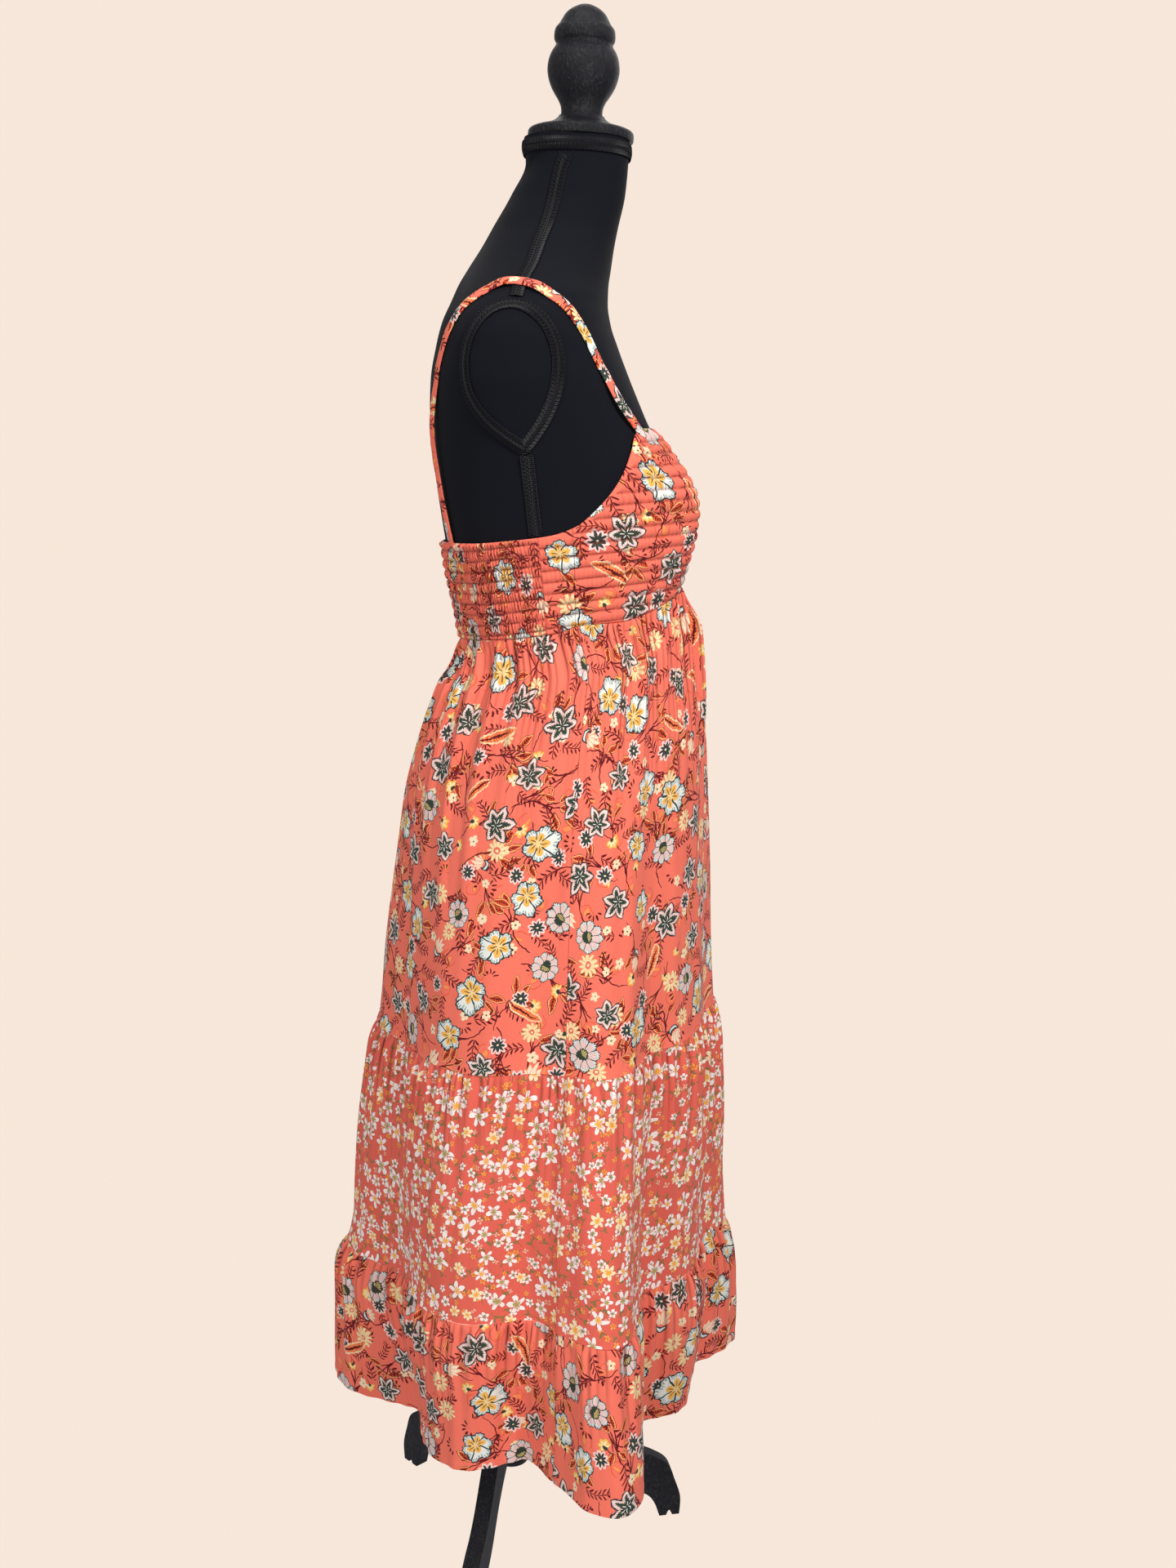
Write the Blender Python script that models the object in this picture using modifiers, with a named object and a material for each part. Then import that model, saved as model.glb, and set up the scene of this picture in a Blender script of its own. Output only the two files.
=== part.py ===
"""A tiered sundress on the limbless dress form and tripod stand that it rests on.

Metres, +Z up. The garment's front faces -Y and the wearer's left is +X. The stand's feet are at z = 0.
A bearing is the direction of a point round the body, in degrees from the front towards +X.
In the tables, front and back are how far a section reaches forward of and behind the Z axis.
"""

import math

import bmesh
import bpy
from mathutils import Vector
from mathutils.bvhtree import BVHTree

# Cloth and seams
CLOTH = 0.0016          # wall of the plain cloth
RIDGE = 0.0014          # how far a shirred row stands proud of the wall
SEAM_GAP = 0.0003       # between pieces that meet
EASE = 0.0020           # between the form and the bodice's inner side

SHARP_ANGLE = math.radians(50)

# Heights of the seams round the skirt: the mean, and how much higher the front is than the side
TIER_SEAMS = {"upper": (0.613, 0.010), "lower": (0.360, 0.010), "hem": (0.204, 0.018)}

# Where the panels are sewn together, as bearings on each side, and about how far out the seams lie
SKIRT_SIDE_SEAM = 84.0
SKIRT_SEAM_REACH = 0.20
BODICE_SIDE_SEAM = 85.0
BODICE_SEAM_REACH = 0.13

# The form's sections
BODY = [
    # z, half_width, front, back
    (1.4955, 0.0490, 0.0973, 0.0050),
    (1.4750, 0.0488, 0.0960, 0.0036),
    (1.4450, 0.0515, 0.0930, 0.0176),
    (1.4150, 0.0620, 0.0862, 0.0355),
    (1.3950, 0.0780, 0.0822, 0.0470),
    (1.3750, 0.0980, 0.0792, 0.0598),
    (1.3580, 0.1200, 0.0768, 0.0698),
    (1.3420, 0.1420, 0.0763, 0.0768),
    (1.3220, 0.1585, 0.0792, 0.0858),
    (1.3000, 0.1650, 0.0865, 0.0918),
    (1.2700, 0.1655, 0.0980, 0.0975),
    (1.2400, 0.1600, 0.1100, 0.0990),
    (1.2050, 0.1520, 0.1220, 0.0975),
    (1.1700, 0.1455, 0.1290, 0.0940),
    (1.1300, 0.1405, 0.1325, 0.0885),
    (1.0850, 0.1350, 0.1335, 0.0815),
    (1.0300, 0.1270, 0.1315, 0.0710),
    (0.9800, 0.1220, 0.1290, 0.0655),
    (0.9300, 0.1290, 0.1320, 0.0730),
    (0.8700, 0.1480, 0.1365, 0.0890),
    (0.8100, 0.1620, 0.1385, 0.0985),
    (0.7600, 0.1660, 0.1385, 0.1000),
    (0.7350, 0.1650, 0.1375, 0.0980),
]
BODY_SQUARENESS = 2.3
BODY_COLUMNS = 38
BODY_ROWS = [
    # from, to, rows: small faces where the form shows, larger ones under the skirt
    (1.4955, 1.0700, 23),
    (1.0700, 0.7350, 6),
]

# The rounding of the bust, on the form and in the looser cups: it falls off above and below its middle
BUST_LEVEL = 1.150
BUST_APART = 0.085      # from the centre line to the middle of each side
BUST_FACING = (-0.25, 0.35)     # the cosine of the bearing where it starts, and where it is full
FORM_BUST = {"height": 0.037, "across": 0.050, "up": 0.055, "down": 0.055}
CUP_BUST = {"height": 0.040, "across": 0.055, "up": 0.060, "down": 0.100}

# The bodice's two edges
BODICE = [
    # bearing, top, bottom
    (0.0, 1.168, 1.0790),
    (15.0, 1.184, 1.0765),
    (26.0, 1.205, 1.0728),
    (33.0, 1.2175, 1.0672),
    (41.0, 1.2225, 1.0606),
    (49.5, 1.2215, 1.0550),
    (54.5, 1.2165, 1.0505),
    (60.0, 1.2005, 1.0455),
    (68.0, 1.1748, 1.0416),
    (76.0, 1.1512, 1.0405),
    (84.0, 1.1318, 1.0385),
    (92.0, 1.1236, 1.0315),
    (105.0, 1.1190, 1.0270),
    (125.0, 1.1150, 1.0225),
    (150.0, 1.1140, 1.0190),
    (180.0, 1.1130, 1.0150),
]

# The shirred rows: their pitch, and how each one rises and falls on its way round
FRONT_ROW_PITCH = 0.0108
BACK_ROW_PITCH = 0.0102
ROW_SWEEP = [
    # bearing, rise
    (0.0, 0.0140),
    (30.0, 0.0132),
    (50.0, 0.0112),
    (75.0, 0.0060),
    (100.0, -0.0020),
    (130.0, -0.0100),
    (150.0, -0.0112),
    (180.0, -0.0112),
]
FRONT_BODICE_COLUMNS = 30
BACK_BODICE_COLUMNS = 24
BODICE_INSIDE_ROWS = 5

# The skirt's sections between its folds
SKIRT = [
    # z, half_width, front, back
    (1.0800, 0.1360, 0.1540, 0.0600),
    (1.0400, 0.1400, 0.1605, 0.0680),
    (1.0000, 0.1470, 0.1650, 0.0810),
    (0.9640, 0.1560, 0.1705, 0.0965),
    (0.9300, 0.1640, 0.1755, 0.1105),
    (0.8960, 0.1710, 0.1785, 0.1215),
    (0.8620, 0.1770, 0.1800, 0.1300),
    (0.8270, 0.1820, 0.1810, 0.1355),
    (0.7570, 0.1900, 0.1835, 0.1440),
    (0.6850, 0.1975, 0.1850, 0.1520),
    (0.6130, 0.2040, 0.1880, 0.1580),
    (0.5950, 0.2080, 0.1920, 0.1630),
    (0.5760, 0.2120, 0.1945, 0.1680),
    (0.5000, 0.2220, 0.1965, 0.1790),
    (0.4270, 0.2300, 0.1940, 0.1850),
    (0.3690, 0.2360, 0.1950, 0.1880),
    (0.3500, 0.2410, 0.1990, 0.1930),
    (0.3310, 0.2460, 0.2030, 0.2000),
    (0.3100, 0.2500, 0.2045, 0.2030),
    (0.2700, 0.2550, 0.2040, 0.2020),
    (0.2000, 0.2620, 0.1980, 0.2010),
    (0.1700, 0.2640, 0.1960, 0.2000),
]
SKIRT_SQUARENESS = 2.1
WAIST_BLEND = 0.050     # how far below the waist seam the skirt leaves the bodice's line

# The long folds, from the side of the wearer's right round the front: shares of the depth below
FOLDS = [
    # bearing, crest, valley_after
    (-185.0, 1.0, 2.7),
    (-112.0, -1.8, 3.0),
    (-72.0, 1.7, 2.4),
    (-35.0, -1.0, 1.1),
    (8.0, 0.9, 0.8),
    (38.0, 0.9, 1.0),
    (66.0, 1.1, 1.2),
    (94.0, 0.9, 1.0),
    (122.0, 1.0, 1.1),
    (149.0, 0.8, 0.9),
]
FOLD_DEPTH = [
    # z, depth
    (0.170, 0.0275),
    (0.204, 0.0265),
    (0.360, 0.0160),
    (0.500, 0.0115),
    (0.613, 0.0075),
    (0.800, 0.0035),
    (0.950, 0.0000),
    (1.100, 0.0000),
]
FRONT_FOLD = {"bearing": -13.0, "half_angle": 9.0, "height": 0.008, "level": 1.005, "half_height": 0.085}

# The gathers under each seam: how high they stand, by how far they are below the seam
WAIST_GATHERS = [
    # below_seam, height
    (0.000, 0.0000),
    (0.013, 0.0036),
    (0.050, 0.0034),
    (0.120, 0.0020),
    (0.220, 0.0010),
    (0.420, 0.0000),
]
TIER_GATHERS = [
    # below_seam, height
    (0.000, 0.0000),
    (0.012, 0.0027),
    (0.050, 0.0019),
    (0.110, 0.0010),
    (0.250, 0.0003),
]
GATHER_SPREAD = (0.6, 1.3)      # the smallest and the largest gather, as shares of that height

# One row for each tier: its seams, its gathers, the rows of its wall as shares of its height
TIERS = {
    "tier1": {
        "top": "waist", "bottom": "upper", "gathers": WAIST_GATHERS,
        "wave": (1.0, -0.5, -0.5), "front_columns": 45, "back_columns": 51,
        "rows": (0.0, 0.032, 0.12, 0.29, 0.52, 0.76, 1.0),
    },
    "tier2": {
        "top": "upper", "bottom": "lower", "gathers": TIER_GATHERS,
        "wave": (1.0, -1.0), "front_columns": 60, "back_columns": 68,
        "rows": (0.0, 0.05, 0.20, 0.55, 1.0),
    },
    "tier3": {
        "top": "lower", "bottom": "hem", "gathers": TIER_GATHERS,
        "wave": (1.0, -1.0), "front_columns": 60, "back_columns": 68,
        "rows": (0.0, 0.08, 0.33, 1.0),
    },
}

# The shoulder straps
STRAP_WIDTH = 0.0125
STRAP_THICK = 0.0020
STRAP_GAP = 0.0014
STRAP_FRONT_BEARING = 49.5
STRAP_BACK_BEARING = 141.0
STRAP_CROSSING = (0.014, 0.030)     # from the braid that it crosses: where it starts down, and is down
STRAP_ROUTE = [
    # out, front, z
    (0.1210, 0.0870, 1.2450),
    (0.1270, 0.0705, 1.2740),
    (0.1360, 0.0464, 1.3139),
    (0.1390, 0.0220, 1.3380),
    (0.1310, -0.0107, 1.3505),
    (0.1275, -0.0380, 1.3430),
    (0.1180, -0.0627, 1.3222),
    (0.1020, -0.0800, 1.2850),
    (0.0890, -0.0905, 1.2257),
    (0.0820, -0.0842, 1.1645),
]

# The braid on the form's seams
BRAID_WIDTH = 0.0130
BRAID_THICK = 0.0016
TRIM_GAP = 0.0009
SHOULDER_SEAM = [
    # out, front, z
    (0.0482, 0.0358, 1.4752),
    (0.0500, 0.0300, 1.4600),
    (0.0580, 0.0220, 1.4250),
    (0.0780, 0.0120, 1.3950),
    (0.1000, 0.0050, 1.3700),
    (0.1250, -0.0030, 1.3520),
    (0.1420, -0.0070, 1.3400),
]
CROSSING_FRONT = -0.0050     # where the strap passes over the shoulder's braid
NECK_BRAID = {"level": 1.4860, "points": 24}
ARMPLATE = {
    "front": -0.0125, "z": 1.2770, "half_width": 0.0425, "up": 0.0540, "down": 0.0735,
    "bluntness": 0.44, "tip_forward": 0.0110, "points": 40,
}
SIDE_BRAID_TO = 1.1325              # just above the bodice's edge
SIDE_BRAID_FRONT = (0.0007, 0.0083) # how far forward it is at its top and at its foot
SIDE_BRAID_STEPS = 4
OUTSIDE = 0.4               # a distance to the side that is clear of the form

# The turned wood on the neck, from its own base up, on an axis that leans forward
NECK_LEAN = math.radians(2.5)
NECK_FORWARD = 0.0035       # how far in front of the neck's middle the axis stands
NECK_CAP = [
    # radius, height
    (0.0505, 0.0003), (0.0512, 0.0015), (0.0512, 0.0070), (0.0495, 0.0095), (0.0455, 0.0112),
    (0.0370, 0.0135), (0.0290, 0.0165), (0.0235, 0.0205), (0.0222, 0.0225),
]
FINIAL = [
    # radius, height
    (0.0200, 0.0228), (0.0203, 0.0300), (0.0230, 0.0365), (0.0270, 0.0425), (0.0310, 0.0495),
    (0.0336, 0.0570), (0.0348, 0.0650), (0.0338, 0.0735), (0.0312, 0.0805), (0.0280, 0.0855),
    (0.0274, 0.0885), (0.0291, 0.0915), (0.0294, 0.0965), (0.0284, 0.1015), (0.0252, 0.1055),
    (0.0222, 0.1105), (0.0190, 0.1155), (0.0135, 0.1200), (0.0070, 0.1232),
]
TURNED_STEPS = 20

# The stand
STAND_AXIS = (0.0, 0.0290)      # x and y of the hub
POLE_RADIUS = 0.0125
POLE_TOP = (0.0, -0.0060)       # x and y of the pole's top, under the form
HUB = [
    # radius, z
    (0.0120, 0.0850), (0.0180, 0.0880), (0.0210, 0.0950), (0.0210, 0.2050), (0.0185, 0.2120),
    (0.0185, 0.2200), (0.0160, 0.2300),
]
LEG_BEARINGS = {"leg_front": 10.0, "leg_left": 133.0, "leg_right": -102.0}
LEG_THICK = 0.0175
LEG_OUTLINE = [
    # reach, z
    (0.0215, 0.1980), (0.0500, 0.1840), (0.0850, 0.1450), (0.1200, 0.1060), (0.1430, 0.0865),
    (0.1620, 0.0765), (0.1790, 0.0640), (0.1870, 0.0440), (0.1935, 0.0220), (0.1925, 0.0),
    (0.1840, 0.0), (0.1805, 0.0060), (0.1770, 0.0), (0.1690, 0.0), (0.1640, 0.0150),
    (0.1560, 0.0270), (0.1400, 0.0370), (0.1150, 0.0560), (0.0850, 0.0880), (0.0500, 0.1130),
    (0.0215, 0.1200),
]
LEG_CORNERS = (0, 9, 10, 12, 13, 20)    # the outline's sharp points

COLOURS = {
    # name: base colour, roughness
    "coral_print": ((0.80, 0.15, 0.08), 0.85),
    "ditsy_print": ((0.62, 0.11, 0.07), 0.85),
    "black_jersey": ((0.012, 0.013, 0.016), 0.95),
    "black_braid": ((0.008, 0.008, 0.009), 0.75),
    "black_wood": ((0.022, 0.018, 0.017), 0.50),
}


def clear_scene():
    for obj in list(bpy.data.objects):
        bpy.data.objects.remove(obj, do_unlink=True)


def material(name):
    made = bpy.data.materials.get(name)
    if made is None:
        colour, roughness = COLOURS[name]
        made = bpy.data.materials.new(name)
        made.use_nodes = True
        shader = made.node_tree.nodes["Principled BSDF"]
        shader.inputs["Base Color"].default_value = (*colour, 1.0)
        shader.inputs["Roughness"].default_value = roughness
    return made


def add_object(name, data, finish, collection):
    obj = bpy.data.objects.new(name, data)
    collection.objects.link(obj)
    data.materials.append(material(finish))
    return obj


def mesh_object(name, bm, finish, collection, smooth=True):
    bmesh.ops.recalc_face_normals(bm, faces=bm.faces)
    mesh = bpy.data.meshes.new(name)
    bm.to_mesh(mesh)
    bm.free()
    if smooth:
        mesh.shade_smooth()
        mesh.set_sharp_from_angle(angle=SHARP_ANGLE)
    return add_object(name, mesh, finish, collection)


def smoothstep(low, high, value):
    share = min(max((value - low) / (high - low), 0.0), 1.0)
    return share * share * (3 - 2 * share)


def row_at(table, at):
    """The table's other columns where its first is at, on a smooth curve that never overshoots."""
    rows = sorted(table)
    at = min(max(at, rows[0][0]), rows[-1][0])
    i = max(k for k in range(len(rows) - 1) if rows[k][0] <= at)
    step = rows[i + 1][0] - rows[i][0]
    share = (at - rows[i][0]) / step
    blend = share * share * (3 - 2 * share)
    found = []
    for column in range(1, len(rows[i])):
        start = rows[i][column]
        end = rows[i + 1][column]
        rise_in = slope_at(rows, i, column) * step
        rise_out = slope_at(rows, i + 1, column) * step
        curve_in = rise_in * share * (1 - share) ** 2
        curve_out = rise_out * share ** 2 * (1 - share)
        found.append(start + (end - start) * blend + curve_in - curve_out)
    return found


def slope_at(rows, i, column):
    """The slope of a column at row i: level at a peak, and at the table's ends that of its last step."""
    slopes = []
    for k in (max(i - 1, 0), min(i, len(rows) - 2)):
        slopes.append((rows[k + 1][column] - rows[k][column]) / (rows[k + 1][0] - rows[k][0]))
    before, after = slopes
    if before * after <= 0:
        return 0.0
    return 2 * before * after / (before + after)


def section_point(bearing, half_width, front, back, squareness):
    """The point of a rounded section in the direction of bearing."""
    half_depth = (front + back) / 2
    across = math.sin(math.radians(bearing))
    ahead = math.cos(math.radians(bearing))
    total = abs(across / half_width) ** squareness + abs(ahead / half_depth) ** squareness
    reach = total ** (-1 / squareness)
    return Vector((reach * across, (back - front) / 2 - reach * ahead))


def bust_rise(x, bearing, z, bust):
    fall = bust["up"] if z > BUST_LEVEL else bust["down"]
    level = math.exp(-((z - BUST_LEVEL) / fall) ** 2)
    sides = 0.0
    for side in (-1, 1):
        sides += math.exp(-((x - side * BUST_APART) / bust["across"]) ** 2)
    facing = smoothstep(*BUST_FACING, math.cos(math.radians(bearing)))
    return bust["height"] * level * sides * facing


def body_point(bearing, z, bust, out=0.0):
    half_width, front, back = row_at(BODY, z)
    point = section_point(bearing, half_width + out, front + out, back + out, BODY_SQUARENESS)
    point.y -= bust_rise(point.x, bearing, z, bust)
    return point


def folded(bearing):
    """The same bearing on the wearer's left, for tables that hold for both sides."""
    return abs((bearing + 180.0) % 360.0 - 180.0)


def bodice_edge(bearing, which):
    """The height of the bodice's top or bottom edge."""
    return row_at(BODICE, folded(bearing))[("top", "bottom").index(which)]


def seam_level(seam, bearing):
    if seam == "waist":
        return bodice_edge(bearing, "bottom")
    mean, tilt = TIER_SEAMS[seam]
    return mean + tilt * math.cos(math.radians(bearing))


def fold_depth(bearing, z):
    """How far the long folds move the skirt out there. It is negative in a valley."""
    turned = (bearing - FOLDS[0][0]) % 360.0 + FOLDS[0][0]
    i = max(k for k in range(len(FOLDS)) if FOLDS[k][0] <= turned)
    start, crest, valley = FOLDS[i]
    end = FOLDS[i + 1][0] if i + 1 < len(FOLDS) else FOLDS[0][0] + 360.0
    next_crest = FOLDS[(i + 1) % len(FOLDS)][1]
    share = (turned - start) / (end - start)
    height = (1 + math.cos(2 * math.pi * share)) / 2
    peak = crest if share < 0.5 else next_crest
    depth = row_at(FOLD_DEPTH, z)[0] * (height * (peak + valley) - valley)
    return depth + front_fold(bearing, z)


def front_fold(bearing, z):
    """The one fold that stands proud under the bust."""
    across = (bearing - FRONT_FOLD["bearing"]) / FRONT_FOLD["half_angle"]
    down = (z - FRONT_FOLD["level"]) / FRONT_FOLD["half_height"]
    if abs(down) >= 1:
        return 0.0
    return FRONT_FOLD["height"] * math.exp(-across ** 2) * (1 - down ** 2)


def skirt_point(bearing, z):
    """The skirt's outer side without its gathers. At the waist seam it is the bodice's."""
    half_width, front, back = row_at(SKIRT, z)
    point = section_point(bearing, half_width, front, back, SKIRT_SQUARENESS)
    middle = Vector((0.0, (back - front) / 2))
    point += (point - middle).normalized() * fold_depth(bearing, z)
    seam = seam_level("waist", bearing)
    if z < seam - WAIST_BLEND:
        return point
    waist = bodice_outer(bearing, seam)
    return waist.lerp(point, smoothstep(0.0, WAIST_BLEND, seam - z))


def bodice_outer(bearing, z):
    """The bodice's outer side between its shirred rows."""
    inner = body_point(bearing, z, CUP_BUST, EASE)
    return inner + outward(lambda at: body_point(at, z, CUP_BUST, EASE), bearing) * CLOTH


def outward(curve, bearing):
    """The level direction that points out of a closed curve of bearings."""
    along = curve(bearing + 0.5) - curve(bearing - 0.5)
    return Vector((along.y, -along.x)).normalized()


def uneven(number):
    """A share from 0 to 1 that looks random and is always the same for one number."""
    return (math.sin(number * 12.9898 + 4.1) * 43758.5453) % 1.0


def bridge(bm, left, right):
    """Faces between two columns of (key, vertex) pairs: a quad where the next keys agree, else a triangle."""
    i = j = 0
    while i < len(left) - 1 or j < len(right) - 1:
        left_next = left[i + 1][0] if i < len(left) - 1 else math.inf
        right_next = right[j + 1][0] if j < len(right) - 1 else math.inf
        corners = [left[i][1], right[j][1]]
        if right_next <= left_next + 1e-6:
            j += 1
            corners.append(right[j][1])
        if left_next <= right_next + 1e-6:
            i += 1
            corners.append(left[i][1])
        bm.faces.new(corners)


def wall(name, outer, inner, finish, collection):
    """A closed wall through columns of (key, point) pairs. The inner side may have fewer rows."""
    bm = bmesh.new()
    sides = []
    for columns in (outer, inner):
        sides.append([[(key, bm.verts.new(point)) for key, point in column] for column in columns])
        for left, right in zip(sides[-1], sides[-1][1:]):
            bridge(bm, left, right)
    outer, inner = sides
    for end in (0, -1):
        by_height = [[(vertex.co.z, vertex) for _, vertex in side[end]] for side in sides]
        bridge(bm, *by_height)
        for k in range(len(outer) - 1):
            corners = (outer[k][end], outer[k + 1][end], inner[k + 1][end], inner[k][end])
            bm.faces.new([vertex for _, vertex in corners])
    return mesh_object(name, bm, finish, collection)


def panel_bearings(start, end, columns, reach):
    """Evenly spaced bearings from seam to seam, held off each seam by half its gap."""
    trim = math.degrees(SEAM_GAP / 2 / reach)
    start, end = start + trim, end - trim
    return [start + (end - start) * k / columns for k in range(columns + 1)]


def tier_panel(name, tier, start, end, columns, finish, collection):
    spec = TIERS[tier]
    least, most = GATHER_SPREAD
    outer = []
    inner = []
    for k, bearing in enumerate(panel_bearings(start, end, columns, SKIRT_SEAM_REACH)):
        held = 0.0 if k in (0, columns) else 1.0
        wave = held * spec["wave"][k % len(spec["wave"])] * (least + (most - least) * uneven(k + start))
        top = seam_level(spec["top"], bearing) - SEAM_GAP / 2
        bottom = seam_level(spec["bottom"], bearing) + (SEAM_GAP / 2 if spec["bottom"] != "hem" else 0)
        outer.append([])
        inner.append([])
        for row, share in enumerate(reversed(spec["rows"])):
            z = top + (bottom - top) * share
            normal = outward(lambda at: skirt_point(at, z), bearing)
            gather = wave * row_at(spec["gathers"], top - z)[0]
            point = skirt_point(bearing, z) + normal * gather
            outer[-1].append((row, (*point, z)))
            inner[-1].append((row, (*(point - normal * CLOTH), z)))
    return wall(name, outer, inner, finish, collection)


def bodice_panel(name, start, end, columns, pitch, collection):
    """A shirred panel: ridges on its outer side, cut by its edges, over a plain inner side."""
    outer = []
    inner = []
    lowest = min(row[2] for row in BODICE)
    for bearing in panel_bearings(start, end, columns, BODICE_SEAM_REACH):
        sweep = row_at(ROW_SWEEP, folded(bearing))[0]
        bottom = bodice_edge(bearing, "bottom") + SEAM_GAP / 2
        top = bodice_edge(bearing, "top")
        levels = [(bottom, 0.0)]
        for number in range(1, 2 * int((top - lowest - sweep) / pitch) + 2):
            z = lowest + sweep + number * pitch / 2
            if bottom + pitch / 4 < z < top - pitch / 4:
                levels.append((z, RIDGE if number % 2 else 0.0))
        levels.append((top, 0.0))
        outer.append([(z - sweep, bodice_place(bearing, z, CLOTH + ridge)) for z, ridge in levels])
        steps = [bottom + (top - bottom) * k / BODICE_INSIDE_ROWS for k in range(BODICE_INSIDE_ROWS + 1)]
        inner.append([(k, bodice_place(bearing, z, 0.0)) for k, z in enumerate(steps)])
    return wall(name, outer, inner, "coral_print", collection)


def bodice_place(bearing, z, out):
    inner = body_point(bearing, z, CUP_BUST, EASE)
    level = inner + outward(lambda at: body_point(at, z, CUP_BUST, EASE), bearing) * out
    return (*level, z)


def make_form(collection):
    """The body of the form: one solid through its sections, with a flat underside and a leaning top."""
    bm = bmesh.new()
    levels = [BODY[0][0]]
    for high, low, count in BODY_ROWS:
        levels += [high + (low - high) * k / count for k in range(1, count + 1)]
    rings = []
    for z in levels:
        lean = math.tan(NECK_LEAN) if z == levels[0] else 0.0
        ring = []
        for column in range(BODY_COLUMNS):
            point = body_point(360.0 * column / BODY_COLUMNS, z, FORM_BUST)
            ring.append(bm.verts.new((point.x, point.y, z + lean * (point.y - neck_centre_y()))))
        rings.append(ring)
    for upper, lower in zip(rings, rings[1:]):
        for k in range(BODY_COLUMNS):
            after = (k + 1) % BODY_COLUMNS
            bm.faces.new((upper[k], lower[k], lower[after], upper[after]))
    bm.faces.new(rings[0])
    bm.faces.new(rings[-1])
    return mesh_object("form_body", bm, "black_jersey", collection)


def neck_centre_y():
    _, _, front, back = BODY[0]
    return (back - front) / 2


def tree_of(obj):
    return BVHTree.FromPolygons(
        [vertex.co for vertex in obj.data.vertices], [face.vertices for face in obj.data.polygons]
    )


def clear_of(tree, point, gap):
    """The point itself where it is at least gap outside the form, or else moved out to that."""
    near, normal, _, _ = tree.find_nearest(point)
    if (point - near).dot(normal) >= gap:
        return point, normal
    return near + normal * gap, normal


def smooth_route(points, steps, closed=False):
    """A smooth curve through the points, with steps points for each stretch."""
    count = len(points)
    spans = count if closed else count - 1
    route = []
    for i in range(spans):
        near = []
        for k in (i - 1, i, i + 1, i + 2):
            near.append(points[k % count] if closed else points[min(max(k, 0), count - 1)])
        for step in range(steps):
            t = step / steps
            bend = (near[1] * 3 - near[0] - near[2] * 3 + near[3]) * t ** 3
            turn = (near[0] * 2 - near[1] * 5 + near[2] * 4 - near[3]) * t ** 2
            route.append((near[1] * 2 + (near[2] - near[0]) * t + turn + bend) / 2)
    if not closed:
        route.append(points[-1])
    return route


def band(name, tree, route, spec, finish, collection, closed=False, level_ends=False):
    """A flat band along a route on the form. spec holds its width, thickness, shares across and gaps."""
    bm = bmesh.new()
    count = len(route)
    rings = []
    for i, place in enumerate(route):
        before = route[(i - 1) % count] if closed or i > 0 else place
        after = route[(i + 1) % count] if closed or i < count - 1 else place
        centre, normal = clear_of(tree, place, spec["gap"](place))
        across = (after - before).cross(normal).normalized()
        if level_ends and i in (0, count - 1):
            across = Vector((across.x, across.y, 0.0)).normalized()
            normal = Vector((normal.x, normal.y, 0.0)).normalized()
        low = []
        high = []
        for share in spec["shares"]:
            point = centre + across * share * spec["width"] / 2
            facing = normal
            if not (level_ends and i in (0, count - 1)):
                point, facing = clear_of(tree, point, spec["gap"](place))
            low.append(bm.verts.new(point))
            high.append(bm.verts.new(point + (facing + normal).normalized() * spec["thick"]))
        rings.append(low + high[::-1])
    join_rings(bm, rings, closed)
    return mesh_object(name, bm, finish, collection)


def join_rings(bm, rings, closed):
    size = len(rings[0])
    pairs = list(zip(rings, rings[1:]))
    if closed:
        pairs.append((rings[-1], rings[0]))
    for first, second in pairs:
        for k in range(size):
            after = (k + 1) % size
            bm.faces.new((first[k], first[after], second[after], second[k]))
    if not closed:
        bm.faces.new(rings[0])
        bm.faces.new(rings[-1])


def on_side(side, rows):
    """The table's rows of out, front and z as points on one side of the body."""
    return [Vector((side * out, -front, z)) for out, front, z in rows]


def make_strap(name, side, tree, collection):
    ends = []
    for bearing in (STRAP_FRONT_BEARING, STRAP_BACK_BEARING):
        top = bodice_edge(bearing, "top")
        x, y, z = bodice_place(side * bearing, top, 0.0)
        ends.append(Vector((x, y, z + SEAM_GAP)))
    route = smooth_route([ends[0], *on_side(side, STRAP_ROUTE), ends[1]], 4)

    def gap(place):
        """Wider where the strap passes over the shoulder seam's braid."""
        away = abs(-place.y - CROSSING_FRONT)
        over = TRIM_GAP + BRAID_THICK + 3 * SEAM_GAP - STRAP_GAP
        return STRAP_GAP + over * (1 - smoothstep(*STRAP_CROSSING, away))

    spec = {"width": STRAP_WIDTH, "thick": STRAP_THICK, "shares": (-1.0, 0.0, 1.0), "gap": gap}
    return band(name, tree, route, spec, "coral_print", collection, level_ends=True)


def braid_spec():
    return {"width": BRAID_WIDTH, "thick": BRAID_THICK, "shares": (-1.0, 0.0, 1.0), "gap": lambda _: TRIM_GAP}


def make_neck_braid(tree, collection):
    centre = neck_centre_y()
    route = []
    for k in range(NECK_BRAID["points"]):
        point = body_point(360.0 * k / NECK_BRAID["points"], NECK_BRAID["level"], FORM_BUST)
        z = NECK_BRAID["level"] + math.tan(NECK_LEAN) * (point.y - centre)
        route.append(Vector((point.x, point.y, z)))
    band("braid_neck", tree, route, braid_spec(), "black_braid", collection, closed=True)


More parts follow.
